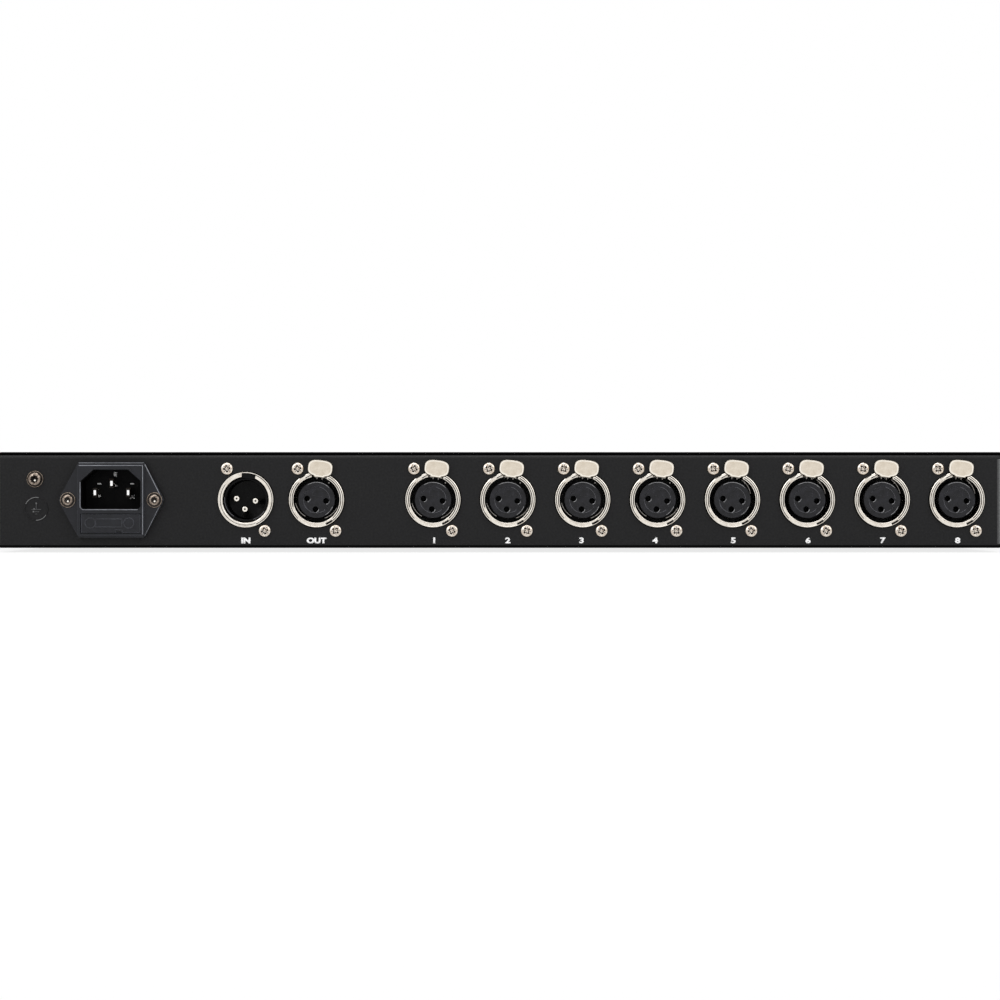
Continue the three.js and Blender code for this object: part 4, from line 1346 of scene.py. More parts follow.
@dataclass
class RackPanel:
    """The 19-inch front panel: its slots, screws, lamps and plain legends."""

    width: float = 482.6
    height: float = 44.0
    thickness: float = 2.5
    slot_spacing_x: float = 465.1
    slot_spacing_z: float = 31.75
    slot_length: float = 10.3
    slot_height: float = 6.8
    screw_spacing_x: float = 402.6
    screw_spacing_z: float = 28.0
    power_lamp: float = -150.0
    lamp_radius: float = 1.5
    lamp_rise: float = 9.0
    lamp_proud: float = 1.3
    lamp_gap: float = 0.2
    board: Span = (-200.1, 158.0, 3.0, 15.0)
    board_near: float = 7.7
    board_far: float = 9.3
    legend_height: float = 2.4
    legend_rise: float = 3.2

    def build_plate(self) -> Piece:
        """The plate with its rack slots, switch opening and lamp holes.

        Returns:
            The plate, with its edges rounded.
        """
        holes = []
        for side in (-1, 1):
            for up in (-1, 1):
                x, z = side * self.slot_spacing_x / 2, up * self.slot_spacing_z / 2
                half, tall = self.slot_length / 2, self.slot_height / 2
                holes.append(rounded(x - half, x + half, z - tall, z + tall, tall - 0.01, 12))
        half, tall = SWITCH_HOLE_WIDTH / 2, SWITCH_HOLE_HEIGHT / 2
        holes.append(rounded(-SWITCH_PLACE - half, -SWITCH_PLACE + half, -tall, tall, 0.4, 2))
        for x in [self.power_lamp, INPUT_PLACE, *OUTPUT_PLACES]:
            holes.append(disc(-x, self.lamp_rise, self.lamp_radius + self.lamp_gap, 32))
        half, tall = self.width / 2, self.height / 2
        plate = slab("panel_plate", rounded(-half, half, -tall, tall, 1.0, 6), 0, self.thickness, holes)
        return soften(plate, 0.22, 3)

    def build_lamps(self) -> None:
        """The lamps' domes and the board that they are soldered to."""
        near = self.board_near
        board = slab("lamp_board", rounded(*self.board, 0.5, 4), near, self.board_far)
        soften(board, 0.1)
        hand_over(board, on_panel(0, 0), Coating.BOARD, ("indicator_board",))
        radius, proud = self.lamp_radius, self.lamp_proud
        angles = [a * DEGREE for a in range(0, 91, 9)]
        dome = [(radius * math.sin(a), -proud + radius * (1 - math.cos(a))) for a in angles]
        lamps = [("lamp_power", self.power_lamp, Coating.RED_LAMP)]
        lamps.append(("lamp_signal", INPUT_PLACE, Coating.AMBER_LAMP))
        lamps += [(f"lamp_{i}", x, Coating.GREEN_LAMP) for i, x in enumerate(OUTPUT_PLACES, 1)]
        first = {}
        for name, x, coating in lamps:
            if coating in first:
                lens = copied(first[coating], name)
            else:
                lens = first[coating] = smooth(turned(name, [*dome, (radius, near), (0, near)], 32), 50)
            hand_over(lens, on_panel(x, self.lamp_rise), coating)

    def build_legends(self) -> None:
        """Plain words and numbers under the lamps."""
        legends = [("POWER", self.power_lamp), ("SIGNAL", INPUT_PLACE)]
        legends += [(str(i + 1), x) for i, x in enumerate(OUTPUT_PLACES)]
        for text, x in legends:
            words = lettered(f"panel_legend_{text.lower()}", text, self.legend_height)
            hand_over(words, on_panel(x, self.legend_rise), Coating.INK)

    def build(self) -> None:
        """Builds and dresses the panel and what is on it."""
        hand_over(self.build_plate(), on_panel(0, 0), Coating.POWDER, ("front_panel",))
        half, tall = self.screw_spacing_x / 2, self.screw_spacing_z / 2
        places = [(side * half, up * tall) for up in (1, -1) for side in (-1, 1)]
        for i, (x, z) in enumerate(places, 1):
            fixing = RecessedScrew(head=3.5, rise=2, shank=1.9, length=6.5)
            screw = fixing.build(f"panel_fixing_{i}", 17.0 * i, Coating.BLACK_SCREW)
            spot, node = on_panel(x, z), f"panel_screw_{i}"
            hand_over(screw, spot, Coating.BLACK_SCREW, (node,))
        self.build_lamps()
        self.build_legends()


@dataclass
class PowerSwitch:
    """The rocker switch in the front panel."""

    bezel_width: float = 15.0
    bezel_height: float = 21.0
    proud: float = 1.8
    body_width: float = 12.8
    body_height: float = 18.8
    depth: float = 14.0
    wall: float = 1.2
    turn: float = 10.0
    pivot_depth: float = 1.6
    back_depth: float = 6.8
    corner: float = 0.3
    bezel_corner: float = 1.5
    stroke_width: float = 0.5
    stroke_height: float = 2.6
    ring_outer: float = 1.4
    ring_inner: float = 0.95
    mark_rise: float = 4.6
    mark_depth: float = 2.71
    mark_lean: float = 8.1

    def build_housing(self) -> Piece:
        """The bezel and the body behind it, open in the middle.

        Returns:
            The housing.
        """
        wide, tall = self.bezel_width / 2, self.bezel_height / 2
        inner_wide, inner_tall = self.body_width / 2 - self.wall, self.body_height / 2 - self.wall
        opening = rounded(-inner_wide, inner_wide, -inner_tall, inner_tall, self.corner, 3)
        frame_outline = rounded(-wide, wide, -tall, tall, self.bezel_corner, 6)
        bezel = soften(slab("switch_bezel", frame_outline, -self.proud, 0, [opening]), 0.28, 3)
        half_wide, half_tall = self.body_width / 2, self.body_height / 2
        outline = rounded(-half_wide, half_wide, -half_tall, half_tall, self.corner, 3)
        floor = self.depth - self.back_depth
        sleeve = slab("sleeve", outline, 0, floor, [opening])
        back = brick("back", -half_wide, half_wide, floor, self.depth, -half_tall, half_tall)
        return gather(bezel, [soften(sleeve, 0.1), soften(back, 0.2)])

    def build_rocker(self) -> Piece:
        """The key: two faces that meet in a shallow valley, on a foot that narrows to the pivot.

        Returns:
            The key.
        """
        half = self.body_height / 2 - self.wall - 0.8
        wide = self.body_width / 2 - self.wall - 0.3
        tip = 1.9 + half * math.tan(self.turn * DEGREE)
        face = [(-tip, -half)] + swept((-tip, -half), (-1.5, 0.0), (-tip, half), 14)
        outline = [(3.0, 3.0), (3.0, -3.0), (-tip + 1.2, -half), *face, (-tip + 1.2, half)]
        return soften(bar("switch_key", outline, -wide, wide), 0.35, 3, 25)

    def build_mark(self, name: str, stroke: bool) -> Piece:
        """The stroke or the ring that marks an end of the key.

        Args:
            name: The mark's name.
            stroke: Whether it is the stroke, and not the ring.

        Returns:
            The mark.
        """
        if stroke:
            half, tall = self.stroke_width / 2, self.stroke_height / 2
            return brick(name, -half, half, -FILM, 0, -tall, tall)
        return slab(name, disc(0, 0, self.ring_outer, 40), -FILM, 0, [disc(0, 0, self.ring_inner, 40)])

    def build(self) -> None:
        """Builds and dresses the switch."""
        place = on_panel(SWITCH_PLACE, 0)
        housing, nodes = self.build_housing(), ("power_switch_housing",)
        hand_over(housing, place, Coating.INLET, nodes)
        pivot = place @ Matrix.Translation((0, self.pivot_depth * MM, 0))
        pivot = pivot @ Matrix.Rotation(-self.turn * DEGREE, 4, "X")
        body = "power_rocker"
        nodes = ("power_switch_rocker",)
        hand_over(self.build_rocker(), pivot, Coating.INLET, nodes, body)
        for name, up, stroke in (("key_mark_on", 1, True), ("key_mark_off", -1, False)):
            tilt = Matrix.Rotation(up * self.mark_lean * DEGREE, 4, "X")
            spot = beside(pivot, 0, -self.mark_depth, up * self.mark_rise) @ tilt
            hand_over(self.build_mark(name, stroke), spot, Coating.INK, body=body)


@dataclass
class RoundConnector:
    """What the input and the outputs share: the die-cast ring, its flange and its two screws."""

    ring_radius: float = 11.66
    proud: float = 1.6
    bore: float = 9.65
    depth: float = 20.0
    fixing_across: float = 19.0
    fixing_up: float = 24.0
    scoop_radius: float = 4.3
    contact_circle: float = 4.0
    flange_width: float = 26.0
    flange_height: float = 31.0
    flange_near: float = 1.2
    flange_far: float = 3.0
    wire_depth: float = 0.24
    wire_steps: int = 40

    def fixings(self) -> Outline:
        """Where the two screws stand."""
        return [(-self.fixing_across / 2, self.fixing_up / 2), (self.fixing_across / 2, -self.fixing_up / 2)]

    def contacts(self) -> Outline:
        """Where the three contacts stand."""
        return [(-self.contact_circle, 0.0), (self.contact_circle, 0.0), (0.0, -self.contact_circle)]

    def crescents(self, spans: list[Span], near: float, width: float) -> list[Piece]:
        """Slim arcs of painted light and shade, for the ring's grooves and gap and for the insert and the
        cup.

        Args:
            spans: For each, the radius and the angle in degrees where it starts and where it ends.
            near: The depth of their outer faces.
            width: How wide they are.

        Returns:
            The arcs, with rounded edges.
        """
        pieces = []
        for radius, start, last, end in spans:
            shares = [i / self.wire_steps for i in range(self.wire_steps + 1)]
            radii = [radius + (last - radius) * t - width / 2 for t in shares]
            angles = [(start + (end - start) * t) * DEGREE for t in shares]
            points = [(r * math.cos(a), r * math.sin(a)) for r, a in zip(radii, angles)]
            pieces.append(ribbon("crescent", points, width, near, near + self.wire_depth))
        return pieces

    def flange(self) -> Piece:
        """Makes the mounting plate behind the wall.

        Returns:
            The plate, open for the ring.
        """
        half, tall = self.flange_width / 2, self.flange_height / 2
        outline, hole = rounded(-half, half, -tall, tall, 3, 6), disc(0, 0, self.ring_radius - 0.4, 48)
        return soften(slab("flange", outline, self.flange_near, self.flange_far, [hole]), 0.2)

    def build_screws(self, name: str, place: Matrix, seed: int) -> None:
        """Builds and dresses the two screws of one connector.

        Args:
            name: The first part of their names.
            place: Where the connector stands.
            seed: What their turn is drawn from.
        """
        dice = random.Random(seed)
        for i, (x, z) in enumerate(self.fixings(), 1):
            fixing = RecessedScrew(head=2.52, rise=1.5, shank=1.4, length=1.6)
            screw = fixing.build(f"{name}_screw_{i}", dice.uniform(0, 90))
            hand_over(screw, beside(place, x, 0, z), Coating.SCREW)


@dataclass
class SocketConnector(RoundConnector):
    """A latching output: ring, insert with three contact holes, and the push latch over them."""

    insert_radius: float = 7.6
    insert_recess: float = 1.0
    hole_radius: float = 1.25
    arm_width: float = 5.2
    arm_bottom: float = 9.8
    arm_top: float = 10.8
    pivot_depth: float = 9.0
    tab_width: float = 10.15
    tab_height: float = 6.64
    tab_reach: float = 16.68
    tab_squareness: float = 3.0
    neck_width: float = 4.7
    neck_bottom: float = 9.65
    tab_back: float = 1.19
    tab_front: float = 2.39
    clearance: float = 0.3
    slot_top: float = 12.7
    mouth_width: float = 6.4
    pivot_slot_width: float = 8.6
    pivot_slot_half: float = 0.9
    pin_radius: float = 0.6
    pin_length: float = 8.0
    slit: Span = (11.34, 10.5, -62, -46)
    wire_width: float = 0.26
    hole_depth: float = 9.0
    key_square: Span = (-1.9, 1.9, 1.6, 4.2)
    key_depth: float = 0.08
    base_length: float = 4.0
    tooth_place: float = 1.1
    tooth_width: float = 0.5
    groove_slot: int = 2

    def ring_profile(self) -> Outline:
        """From the bore over the bright inner rim and two fine grooves to the rounded outer band.

        Returns:
            The profile's points, as radius and depth.
        """
        front = -self.proud
        outer = self.ring_radius
        return [
            (self.bore, self.depth), (self.bore, front + 0.4), (self.bore + 0.08, front + 0.12),
            (self.bore + 0.24, front), (10.02, front), (10.08, front + 0.07), (10.1, front + 0.5),
            (10.36, front + 0.5), (10.38, front + 0.07), (10.44, front), (10.86, front),
            (10.92, front + 0.06), (10.94, front + 0.5), (11.2, front + 0.5), (11.22, front + 0.08),
            (11.28, front + 0.03), (11.46, front + 0.1), (outer - 0.04, front + 0.28), (outer, front + 0.5),
            (outer, self.depth),
        ]

    def build_shell(self, reflections: list[Span]) -> Piece:
        """Makes the ring with its scoop, its slit and its slot for the latch, with painted shade in its
        grooves, cuts and flange, and painted reflections in its gap.

        Args:
            reflections: The painted reflections that show in the gap, as spans for crescents.

        Returns:
            The shell.
        """
        near = -self.proud - OVERRUN
        shell = turned("socket_ring", self.ring_profile(), 128)
        half = self.arm_width / 2 + self.clearance
        front, back = self.pivot_depth - self.pivot_slot_half, self.pivot_depth + self.pivot_slot_half
        slot = brick("slot", -half, half, near, back, 0, self.slot_top)
        half = self.mouth_width / 2
        mouth = brick("mouth", -half, half, near, 1.0, 0, self.slot_top)
        half = self.pivot_slot_width / 2
        notch = brick("notch", -half, half, front, back, self.arm_bottom - 0.4, self.slot_top + 0.1)
        x, z = self.fixings()[0]
        scoop = slab("scoop", disc(x, z, self.scoop_radius, 64), near, 1.5)
        outer, inner, start, end = self.slit
        slit = slab("slit", arc(0, 0, outer, start, end, 8) + arc(0, 0, inner, end, start, 8), near, 0.4)
        seat = slab("seat", self.tab_outline(self.clearance), near, -self.tab_back + self.clearance)
        # The cut faces get painted shade.
        for tool in (slot, mouth, slit, seat):
            hold(tool, Coating.GROOVE, 0)
        combine(shell, [scoop, slit, slot, mouth, notch, seat])
        soften(shell, 0.05, 2, 40)
        sunk = -self.proud + 0.12
        width = self.wire_width
        # Painted shade on arcs of the two grooves, in the slit and near the scoop, and over the flange.
        lines = self.crescents([(10.36, 68, 10.36, -42), (10.36, 142, 10.36, 205)], sunk, width)
        lines += self.crescents([(11.2, 70, 11.2, -46), (11.2, 146, 11.2, 232)], sunk, width)
        lines += self.crescents([(outer, end, outer, start)], sunk + 0.1, outer - inner)
        lines += self.crescents([(10.9, 104, 10.4, 124)], -self.proud - 0.01, 0.34)
        inlay(shell, Coating.GROOVE, [self.flange(), *lines], self.groove_slot)
        # Painted reflections: arcs in the gap and a glint there.
        glint = slab("glint", disc(4.3, 7.7, 0.24, 20), -0.4, -0.1)
        bright = [*self.crescents(reflections, -0.2, width), glint]
        return inlay(shell, Coating.SPRING, bright, self.groove_slot + 1)

    def build_insert(self) -> Piece:
        """Makes the insert: a face with a fine bead, a shallow square and three holes, with painted
        highlights on its edges, its bead, its rim and its holes' lips.

        Returns:
            The insert.
        """
        face = -self.proud + self.insert_recess
        radius = self.insert_radius
        base, step = self.bore - self.clearance, self.depth - self.base_length
        profile = [
            (0, face), (5.3, face), (5.36, face + 0.16), (5.6, face + 0.16), (5.66, face), (radius, face),
            (radius, step), (base, step), (base, self.depth), (0, self.depth),
        ]
        insert = turned("socket_insert", profile, 96)
        holes = [disc(x, z, self.hole_radius, 40) for x, z in self.contacts()]
        tools = [slab("hole", hole, face - OVERRUN, face + self.hole_depth) for hole in holes]
        square = rounded(*self.key_square, 0.3, 3)
        tools.append(slab("key_square", square, face - OVERRUN, face + self.key_depth))
        combine(insert, tools)
        # The rounded edges get the painted highlight.
        soften(insert, 0.2, 3, 40, Coating.INSERT_EDGE)
        # Painted highlights on two arcs of the bead.
        bead_highlights = self.crescents([(5.6, 84, 5.6, 12), (5.6, 186, 5.6, 318)], face + 0.02, 0.16)
        inlay(insert, Coating.INSERT_EDGE, bead_highlights)
        # Painted highlights on two arcs of the rim and at the lower right of each hole's lip.
        lip_highlights = self.crescents([(7.42, 128, 7.42, 50), (7.42, -16, 7.42, -52)], face - 0.03, 0.18)
        for x, z in self.contacts():
            spans = [(self.hole_radius + 0.24, -75, self.hole_radius + 0.24, 5)]
            lip_highlights += [moved(lip, x, 0, z) for lip in self.crescents(spans, face - 0.04, 0.22)]
        return inlay(insert, Coating.WORN_LIP, lip_highlights, self.groove_slot)

    def tab_outline(self, grow: float = 0.0) -> Outline:
        """The thumb tab: a neck that flares into a broad rounded head.

        Args:
            grow: How far the outline lies outside the tab's own.

        Returns:
            The outline, from the right of the neck round the head to its left.
        """
        half, tall = self.tab_width / 2 + grow, self.tab_height / 2 + grow
        neck = self.neck_width / 2 + grow
        middle = self.tab_reach - self.tab_height / 2
        power = 2 / self.tab_squareness
        start = -math.acos((neck / half) ** (1 / power))
        head = []
        for i in range(61):
            turn = start + (math.pi - 2 * start) * i / 60
            across, up = math.cos(turn), math.sin(turn)
            x = math.copysign(half * abs(across) ** power, across)
            head.append((x, middle + math.copysign(tall * abs(up) ** power, up)))
        foot = self.neck_bottom - grow
        return [(neck - 0.4, foot), *head, (0.4 - neck, foot)]

    def build_latch(self) -> Piece:
        """The tab, with painted highlights round its edge, its arm, the two teeth that hold the plug and the
        pivot pin.

        Returns:
            The latch.
        """
        tab = slab("socket_latch", self.tab_outline(), -self.tab_front, -self.tab_back)
        # The tab's rounded edges and a band just inside them get the painted highlight.
        soften(tab, 0.3, 4, 50, Coating.BRIGHT_EDGE)
        face = -self.tab_front
        rim = slab("rim", self.tab_outline(-0.2), face - 0.01, face + 0.1, [self.tab_outline(-0.56)])
        inlay(tab, Coating.BRIGHT_EDGE, [rim])
        half, low = self.neck_width / 2, self.arm_bottom
        arm = brick("arm", -half, half, -self.tab_back - 0.4, self.pivot_depth, low, self.arm_top)
        soften(arm, 0.15)
        tooth = [(2.4, low + 0.3), (2.4, low - 1.1), (2.7, low - 1.35), (3.4, low - 1.35), (4.6, low + 0.3)]
        half, places = self.tooth_width / 2, (-self.tooth_place, self.tooth_place)
        teeth = [soften(bar("tooth", tooth, x - half, x + half), 0.06) for x in places]
        half = self.pin_length / 2
        section = disc(self.pivot_depth, (low + self.arm_top) / 2, self.pin_radius, 20)
        pin = soften(bar("pin", section, -half, half), 0.08)
        return inlay(gather(tab, [arm, pin]), Coating.SPRING, teeth, 2)

    def build(self, groups: list[tuple[list, dict[str, float]]]) -> None:
        """Builds the connector and sets a copy of it at each place.

        Args:
            groups: For each batch, the painted reflections that show in its gaps, and where its connectors
                stand along the wall, by their CAD names.
        """
        insert, latch = self.build_insert(), self.build_latch()
        masters = [insert, latch]
        for reflections, places in groups:
            shell = self.build_shell(reflections)
            masters.append(shell)
            for name, x in places.items():
                place = on_wall(x, CONNECTOR_RISE, CONNECTOR_TURN)
                ring = copied(shell, f"{name}_ring")
                hand_over(ring, place, Coating.NICKEL, (f"{name}_shell",))
                face = copied(insert, f"{name}_face")
                hand_over(face, place, Coating.INSERT, (f"{name}_insert",))
                push = copied(latch, f"{name}_push")
                node = f"{name}_latch"
                hand_over(push, place, Coating.TAB_NICKEL, (node,), node)
                self.build_screws(name, place, round(x))
        for master in masters:
            bpy.data.objects.remove(master)


@dataclass
class InputConnector(RoundConnector):
    """The input: ring with a keyway, and a cup with three pins."""

    keyway: float = 5.6
    cup_radius: float = 8.3
    cup_recess: float = 2.1
    cup_depth: float = 14.0
    pin_radius: float = 1.2
    pin_recess: float = 2.4

    def build_shell(self) -> Piece:
        """The ring: a fine groove in the middle of its face, and the keyway under a thin outer lip, with
        painted shade in the keyway, on arcs of its grooves and over the flange.

        Returns:
            The shell.
        """
        front, outer = -self.proud, self.ring_radius
        profile = [
            (self.bore, self.depth), (self.bore, front + 0.4), (self.bore + 0.14, front + 0.1),
            (self.bore + 0.35, front), (10.45, front), (10.5, front + 0.4), (10.72, front + 0.4),
            (10.76, front), (10.96, front), (11.0, front + 0.6), (11.24, front + 0.6),
            (11.28, front + 0.04), (outer - 0.06, front + 0.1), (outer, front + 0.3), (outer, self.depth),
        ]
        shell = turned("input_ring", profile, 128)
        near = front - 1
        combine(shell, [slab("keyway", self.key_outline(), near, front + 6)])
        soften(shell, 0.05, 2, 40)
        # The keyway is lined with painted shade.
        lining = slab("lining", self.key_outline(0.02), front + 0.8, front + 6)
        # Painted shade on arcs of the grooves and over the flange.
        lines = self.crescents([(10.7, 150, 10.7, 300)], front + 0.14, 0.12)
        lines += self.crescents([(11.24, 78, 11.24, -60)], front + 0.1, 0.24)
        inlay(shell, Coating.CUP, [lining])
        return inlay(shell, Coating.GROOVE, [self.flange(), *lines], 2)

    def key_outline(self, shrink: float = 0.0) -> Outline:
        """The keyway's outline.

        Args:
            shrink: By how much its top is drawn in.

        Returns:
            The outline's points.
        """
        half = self.keyway / 2 - shrink
        top, side = 11.0 - shrink, half + 0.2
        return [(half, 9.0), (side, top), (0, top + 0.3), (-side, top), (-half, 9.0)]

    def build_cup(self) -> Piece:
        """The cup: a rounded lip and a deep floor, painted near black as shade, with painted highlights on
        two arcs of its lip.

        Returns:
            The cup.
        """
        rim, floor = -self.proud + self.cup_recess, -self.proud + self.cup_depth
        outer = self.bore - 0.3
        profile = [
            (0, floor), (self.cup_radius - 0.4, floor), (self.cup_radius, floor - 0.4),
            (self.cup_radius, rim + 0.4), (self.cup_radius + 0.15, rim + 0.1),
            (self.cup_radius + 0.45, rim), (outer - 0.2, rim + 0.05), (outer, rim + 0.25),
            (outer, self.depth), (0, self.depth),
        ]
        cup = smooth(turned("input_cup", profile, 96), 50)
        # Painted highlights on the lip at the lower left and the lower right.
        lights = self.crescents([(9.2, 180, 8.75, 240), (9.2, -25, 8.9, -62)], rim - 0.12, 0.24)
        return inlay(cup, Coating.INSERT_EDGE, lights)

    def build_pin(self) -> Piece:
        """A pin with a domed tip and a small dimple in it, painted dark as shade.

        Returns:
            The pin.
        """
        tip, radius = -self.proud + self.pin_recess, self.pin_radius
        profile = [
            (0, tip + 0.4), (0.3, tip + 0.36), (0.42, tip + 0.02), (0.56, tip), (0.95, tip + 0.03),
            (1.14, tip + 0.16), (radius, tip + 0.45), (radius, self.depth), (0, self.depth),
        ]
        pin = smooth(turned("input_contact", profile, 32), 60)
        # The dimple gets painted shade.
        dimple = slab("dimple", disc(0, 0, 0.34, 20), tip + 0.2, tip + 0.5)
        return inlay(pin, Coating.RECESS, [dimple])

    def build(self) -> None:
        """Builds and dresses the input."""
        place = on_wall(INPUT_PLACE, CONNECTOR_RISE, CONNECTOR_TURN)
        hand_over(self.build_shell(), place, Coating.NICKEL, ("input_shell",))
        hand_over(self.build_cup(), place, Coating.CUP, ("input_insert",))
        pin = self.build_pin()
        for i, (x, z) in enumerate(self.contacts(), 1):
            twin = copied(pin, f"input_contact_{i}")
            spot, node = beside(place, x, 0, z), f"input_pin_{i}"
            hand_over(twin, spot, Coating.CONTACT, (node,))
        bpy.data.objects.remove(pin)
        self.build_screws("input", place, 0)


@dataclass
class MainsInlet:
    """The mains inlet: flanged housing, three blades, fuse drawer and two screws."""

    reach: float = 43.8
    top_width: float = 27.3
    height: float = 31.8
    flange: float = 2.5
    end_radius: float = 3.4
    block_width: float = 28.0
    block_height: float = 30.2
    proud: float = 4.1
    body_depth: float = 17.0
    socket_width: float = 25.1
    socket_height: float = 16.6
    socket_rise: float = 4.5
    socket_depth: float = 15.6
    drawer_width: float = 25.0
    drawer_height: float = 7.8
    drawer_drop: float = 9.9
    drawer_depth: float = 18.0
    screw_spacing: float = 36.4
    body_width: float = 27.2
    body_height: float = 29.2
    clearance: float = 0.3
    contact_spacing: float = 14.0
    contact_rise: float = 3.1
    earth_rise: float = 7.0
    contact_recess: float = 2.6
    blade_half: Pair = (1, 2)
    blade_tip: Pair = (0.5, 1.05)
    blade_taper: float = 0.8
    socket_corner: float = 1.5
    slant_across: float = 5.3
    slant_up: float = 4.7
    line_proud: float = 0.22
    pocket_width: float = 20.6
    spare_pocket: Pair = (2.0, 7.1)
    fuse_pocket: Pair = (8.1, 13.9)
    pry_notch: Pair = (2.1, 4.7)
    sign_line: float = 0.36
    sign_radius: float = 2.3
    sign_rings: Pair = (-8.6, 7.6)
    sign_bar: Span = (-6.4, 4.9, -1.6, 2.1)

    def flange_outline(self) -> Outline:
        """A plate that narrows to a rounded point at each end.

        Returns:
            The plate's points.
        """
        shoulder, up = self.top_width / 2, self.height / 2
        centre = self.reach / 2 - self.end_radius
        run = math.hypot(centre - shoulder, up)
        lean = math.atan2(up, centre - shoulder) + math.acos(self.end_radius / run)
        swing = 180 - lean / DEGREE
        right = arc(centre, 0, self.end_radius, -swing, swing, 10)
        left = arc(-centre, 0, self.end_radius, 180 - swing, 180 + swing, 10)
        return [(shoulder, -up), *right, (shoulder, up), (-shoulder, up), *left, (-shoulder, -up)]

    def socket_outline(self, grow: float = 0.0) -> Outline:
        """The socket's mouth, with its two slanted corners at the top.

        Args:
            grow: By how much it is larger on every side.

        Returns:
            The mouth's points.
        """
        half = self.socket_width / 2 + grow
        top = self.socket_rise + self.socket_height / 2 + grow
        bottom = self.socket_rise - self.socket_height / 2 - grow
        radius, across, up = self.socket_corner + grow, self.slant_across, self.slant_up
        return [
            *arc(half - radius, bottom + radius, radius, -90, 0, 6),
            (half, top - up), (half - across, top), (-half + across, top), (-half, top - up),
            *arc(-half + radius, bottom + radius, radius, 180, 270, 6),
        ]

    def build_housing(self) -> Piece:
        """The flange, the raised block and the body behind the wall, with the openings cut.

        Returns:
            The housing, with its edges rounded and painted lighter as highlights.
        """
        front = -self.proud
        flange = slab("inlet_block", self.flange_outline(), -self.flange, 0)
        # Rounded edges here and below get the painted highlight.
        soften(flange, 0.4, 3, 30, Coating.INLET_EDGE)
        wide, tall = self.block_width / 2, self.block_height / 2
        block = slab("block", rounded(-wide, wide, -tall, tall, 0.9, 5), front, -0.5)
        soften(block, 0.4, 3, 50, Coating.INLET_EDGE)
        wide, tall = self.body_width / 2, self.body_height / 2
        body = brick("body", -wide, wide, -1.0, self.body_depth, -tall, tall)
        combine(flange, [block, body], "UNION")
        half, tall = self.drawer_width / 2 + self.clearance, self.drawer_height / 2 + self.clearance
        near, far, level = front - OVERRUN, front + self.drawer_depth + self.clearance, -self.drawer_drop
        well = brick("well", -half, half, near, far, level - tall, level + tall)
        socket = slab("socket", self.socket_outline(), near, front + self.socket_depth)
        combine(flange, [well, socket])
        return soften(flange, 0.12, 2, 50, Coating.INLET_EDGE)

    def build_lip(self) -> Piece:
        """The thin raised line round the socket's mouth.

        Returns:
            The line.
        """
        front = -self.proud
        outer, inner = self.socket_outline(0.45), self.socket_outline(0.02)
        lip = slab("inlet_lip", outer, front - self.line_proud, front + 0.1, [inner])
        return soften(lip, 0.1, 2, 40)

    def build_liner(self) -> Piece:
        """The walls and floor inside the socket, a dark sheet of painted shade, with the two steps of its
        lower edge.

        Returns:
            The walls and the floor.
        """
        front, floor = -self.proud + 0.4, -self.proud + self.socket_depth
        back = slab("inlet_liner", self.socket_outline(-0.02), floor - 0.25, floor - 0.02)
        inner = self.socket_outline(-0.16)
        sleeve = slab("sleeve", self.socket_outline(-0.01), front, floor - 0.1, [inner])
        return gather(soften(back, 0.05), [soften(sleeve, 0.03)])

    def build_blade(self, name: str, glint: float) -> Piece:
        """Makes a flat blade with a tapered tip, and its tail behind the housing.

        Args:
            name: The blade's name.
            glint: The height of the painted glint streak on its right side.

        Returns:
            The blade.
        """
        tip, back = -self.proud + self.contact_recess, self.body_depth
        full, taper = self.blade_half, self.blade_taper
        blade = tapered(name, [(*self.blade_tip, tip), (*full, tip + taper), (*full, back)])
        # The tip's face gets a painted highlight and the tapered faces painted shade.
        hold(blade, Coating.MARK)
        hold(blade, Coating.ZINC_SHADE, 2)
        for face in blade.data.polygons:
            depth = face.center.y / MM - tip
            face.material_index = 1 if depth < 0.1 else 2 if depth < taper - 0.1 else 0
        soften(blade, 0.06)
        lug = brick("lug", -0.4, 0.4, back - 0.5, back + 8, -2.4, 2.4)
        # A painted glint streak on the right side.
        streak = brick("streak", 0.95, 1.06, 3.5, 11, glint - 0.45, glint + 0.45)
        return inlay(gather(blade, [soften(lug, 0.12)]), Coating.MARK, [streak])

    def build_drawer(self) -> Piece:
        """The fuse drawer: its face embossed with a fuse, two rings and a bar, over a pry notch, its rounded
        edges painted lighter as highlights.

        Returns:
            The drawer.
        """
        front = -self.proud
        half, tall = self.drawer_width / 2, self.drawer_height / 2
        drawer = brick("drawer_body", -half, half, front, front + self.drawer_depth, -tall, tall)
        tools, half = [], self.pocket_width / 2
        for near, far in (self.spare_pocket, self.fuse_pocket):
            tools.append(brick("pocket", -half, half, front + near, front + far, -tall + 1, tall + 1))
        tools.append(brick("notch", *self.pry_notch, front - 1, front + 1, -tall - 1, -tall + 1.2))
        combine(drawer, tools)
        # Rounded edges here and on the marks get the painted highlight.
        soften(drawer, 0.15, 2, 35, Coating.INLET_EDGE)
        sunk, line, radius = front - 0.25, self.sign_line, self.sign_radius
        signs = [(disc(x, 0.2, radius, 48), disc(x, 0.2, radius - line, 48)) for x in self.sign_rings]
        left, right, low, high = self.sign_bar
        inner = rounded(left + line, right - line, low + line, high - line, 0.2, 3)
        signs.append((rounded(*self.sign_bar, 0.3, 3), inner))
        marks = [slab("mark", outer, sunk, front + 0.1, [inner]) for outer, inner in signs]
        return gather(drawer, [soften(mark, 0.09, 2, 35, Coating.INLET_EDGE) for mark in marks])

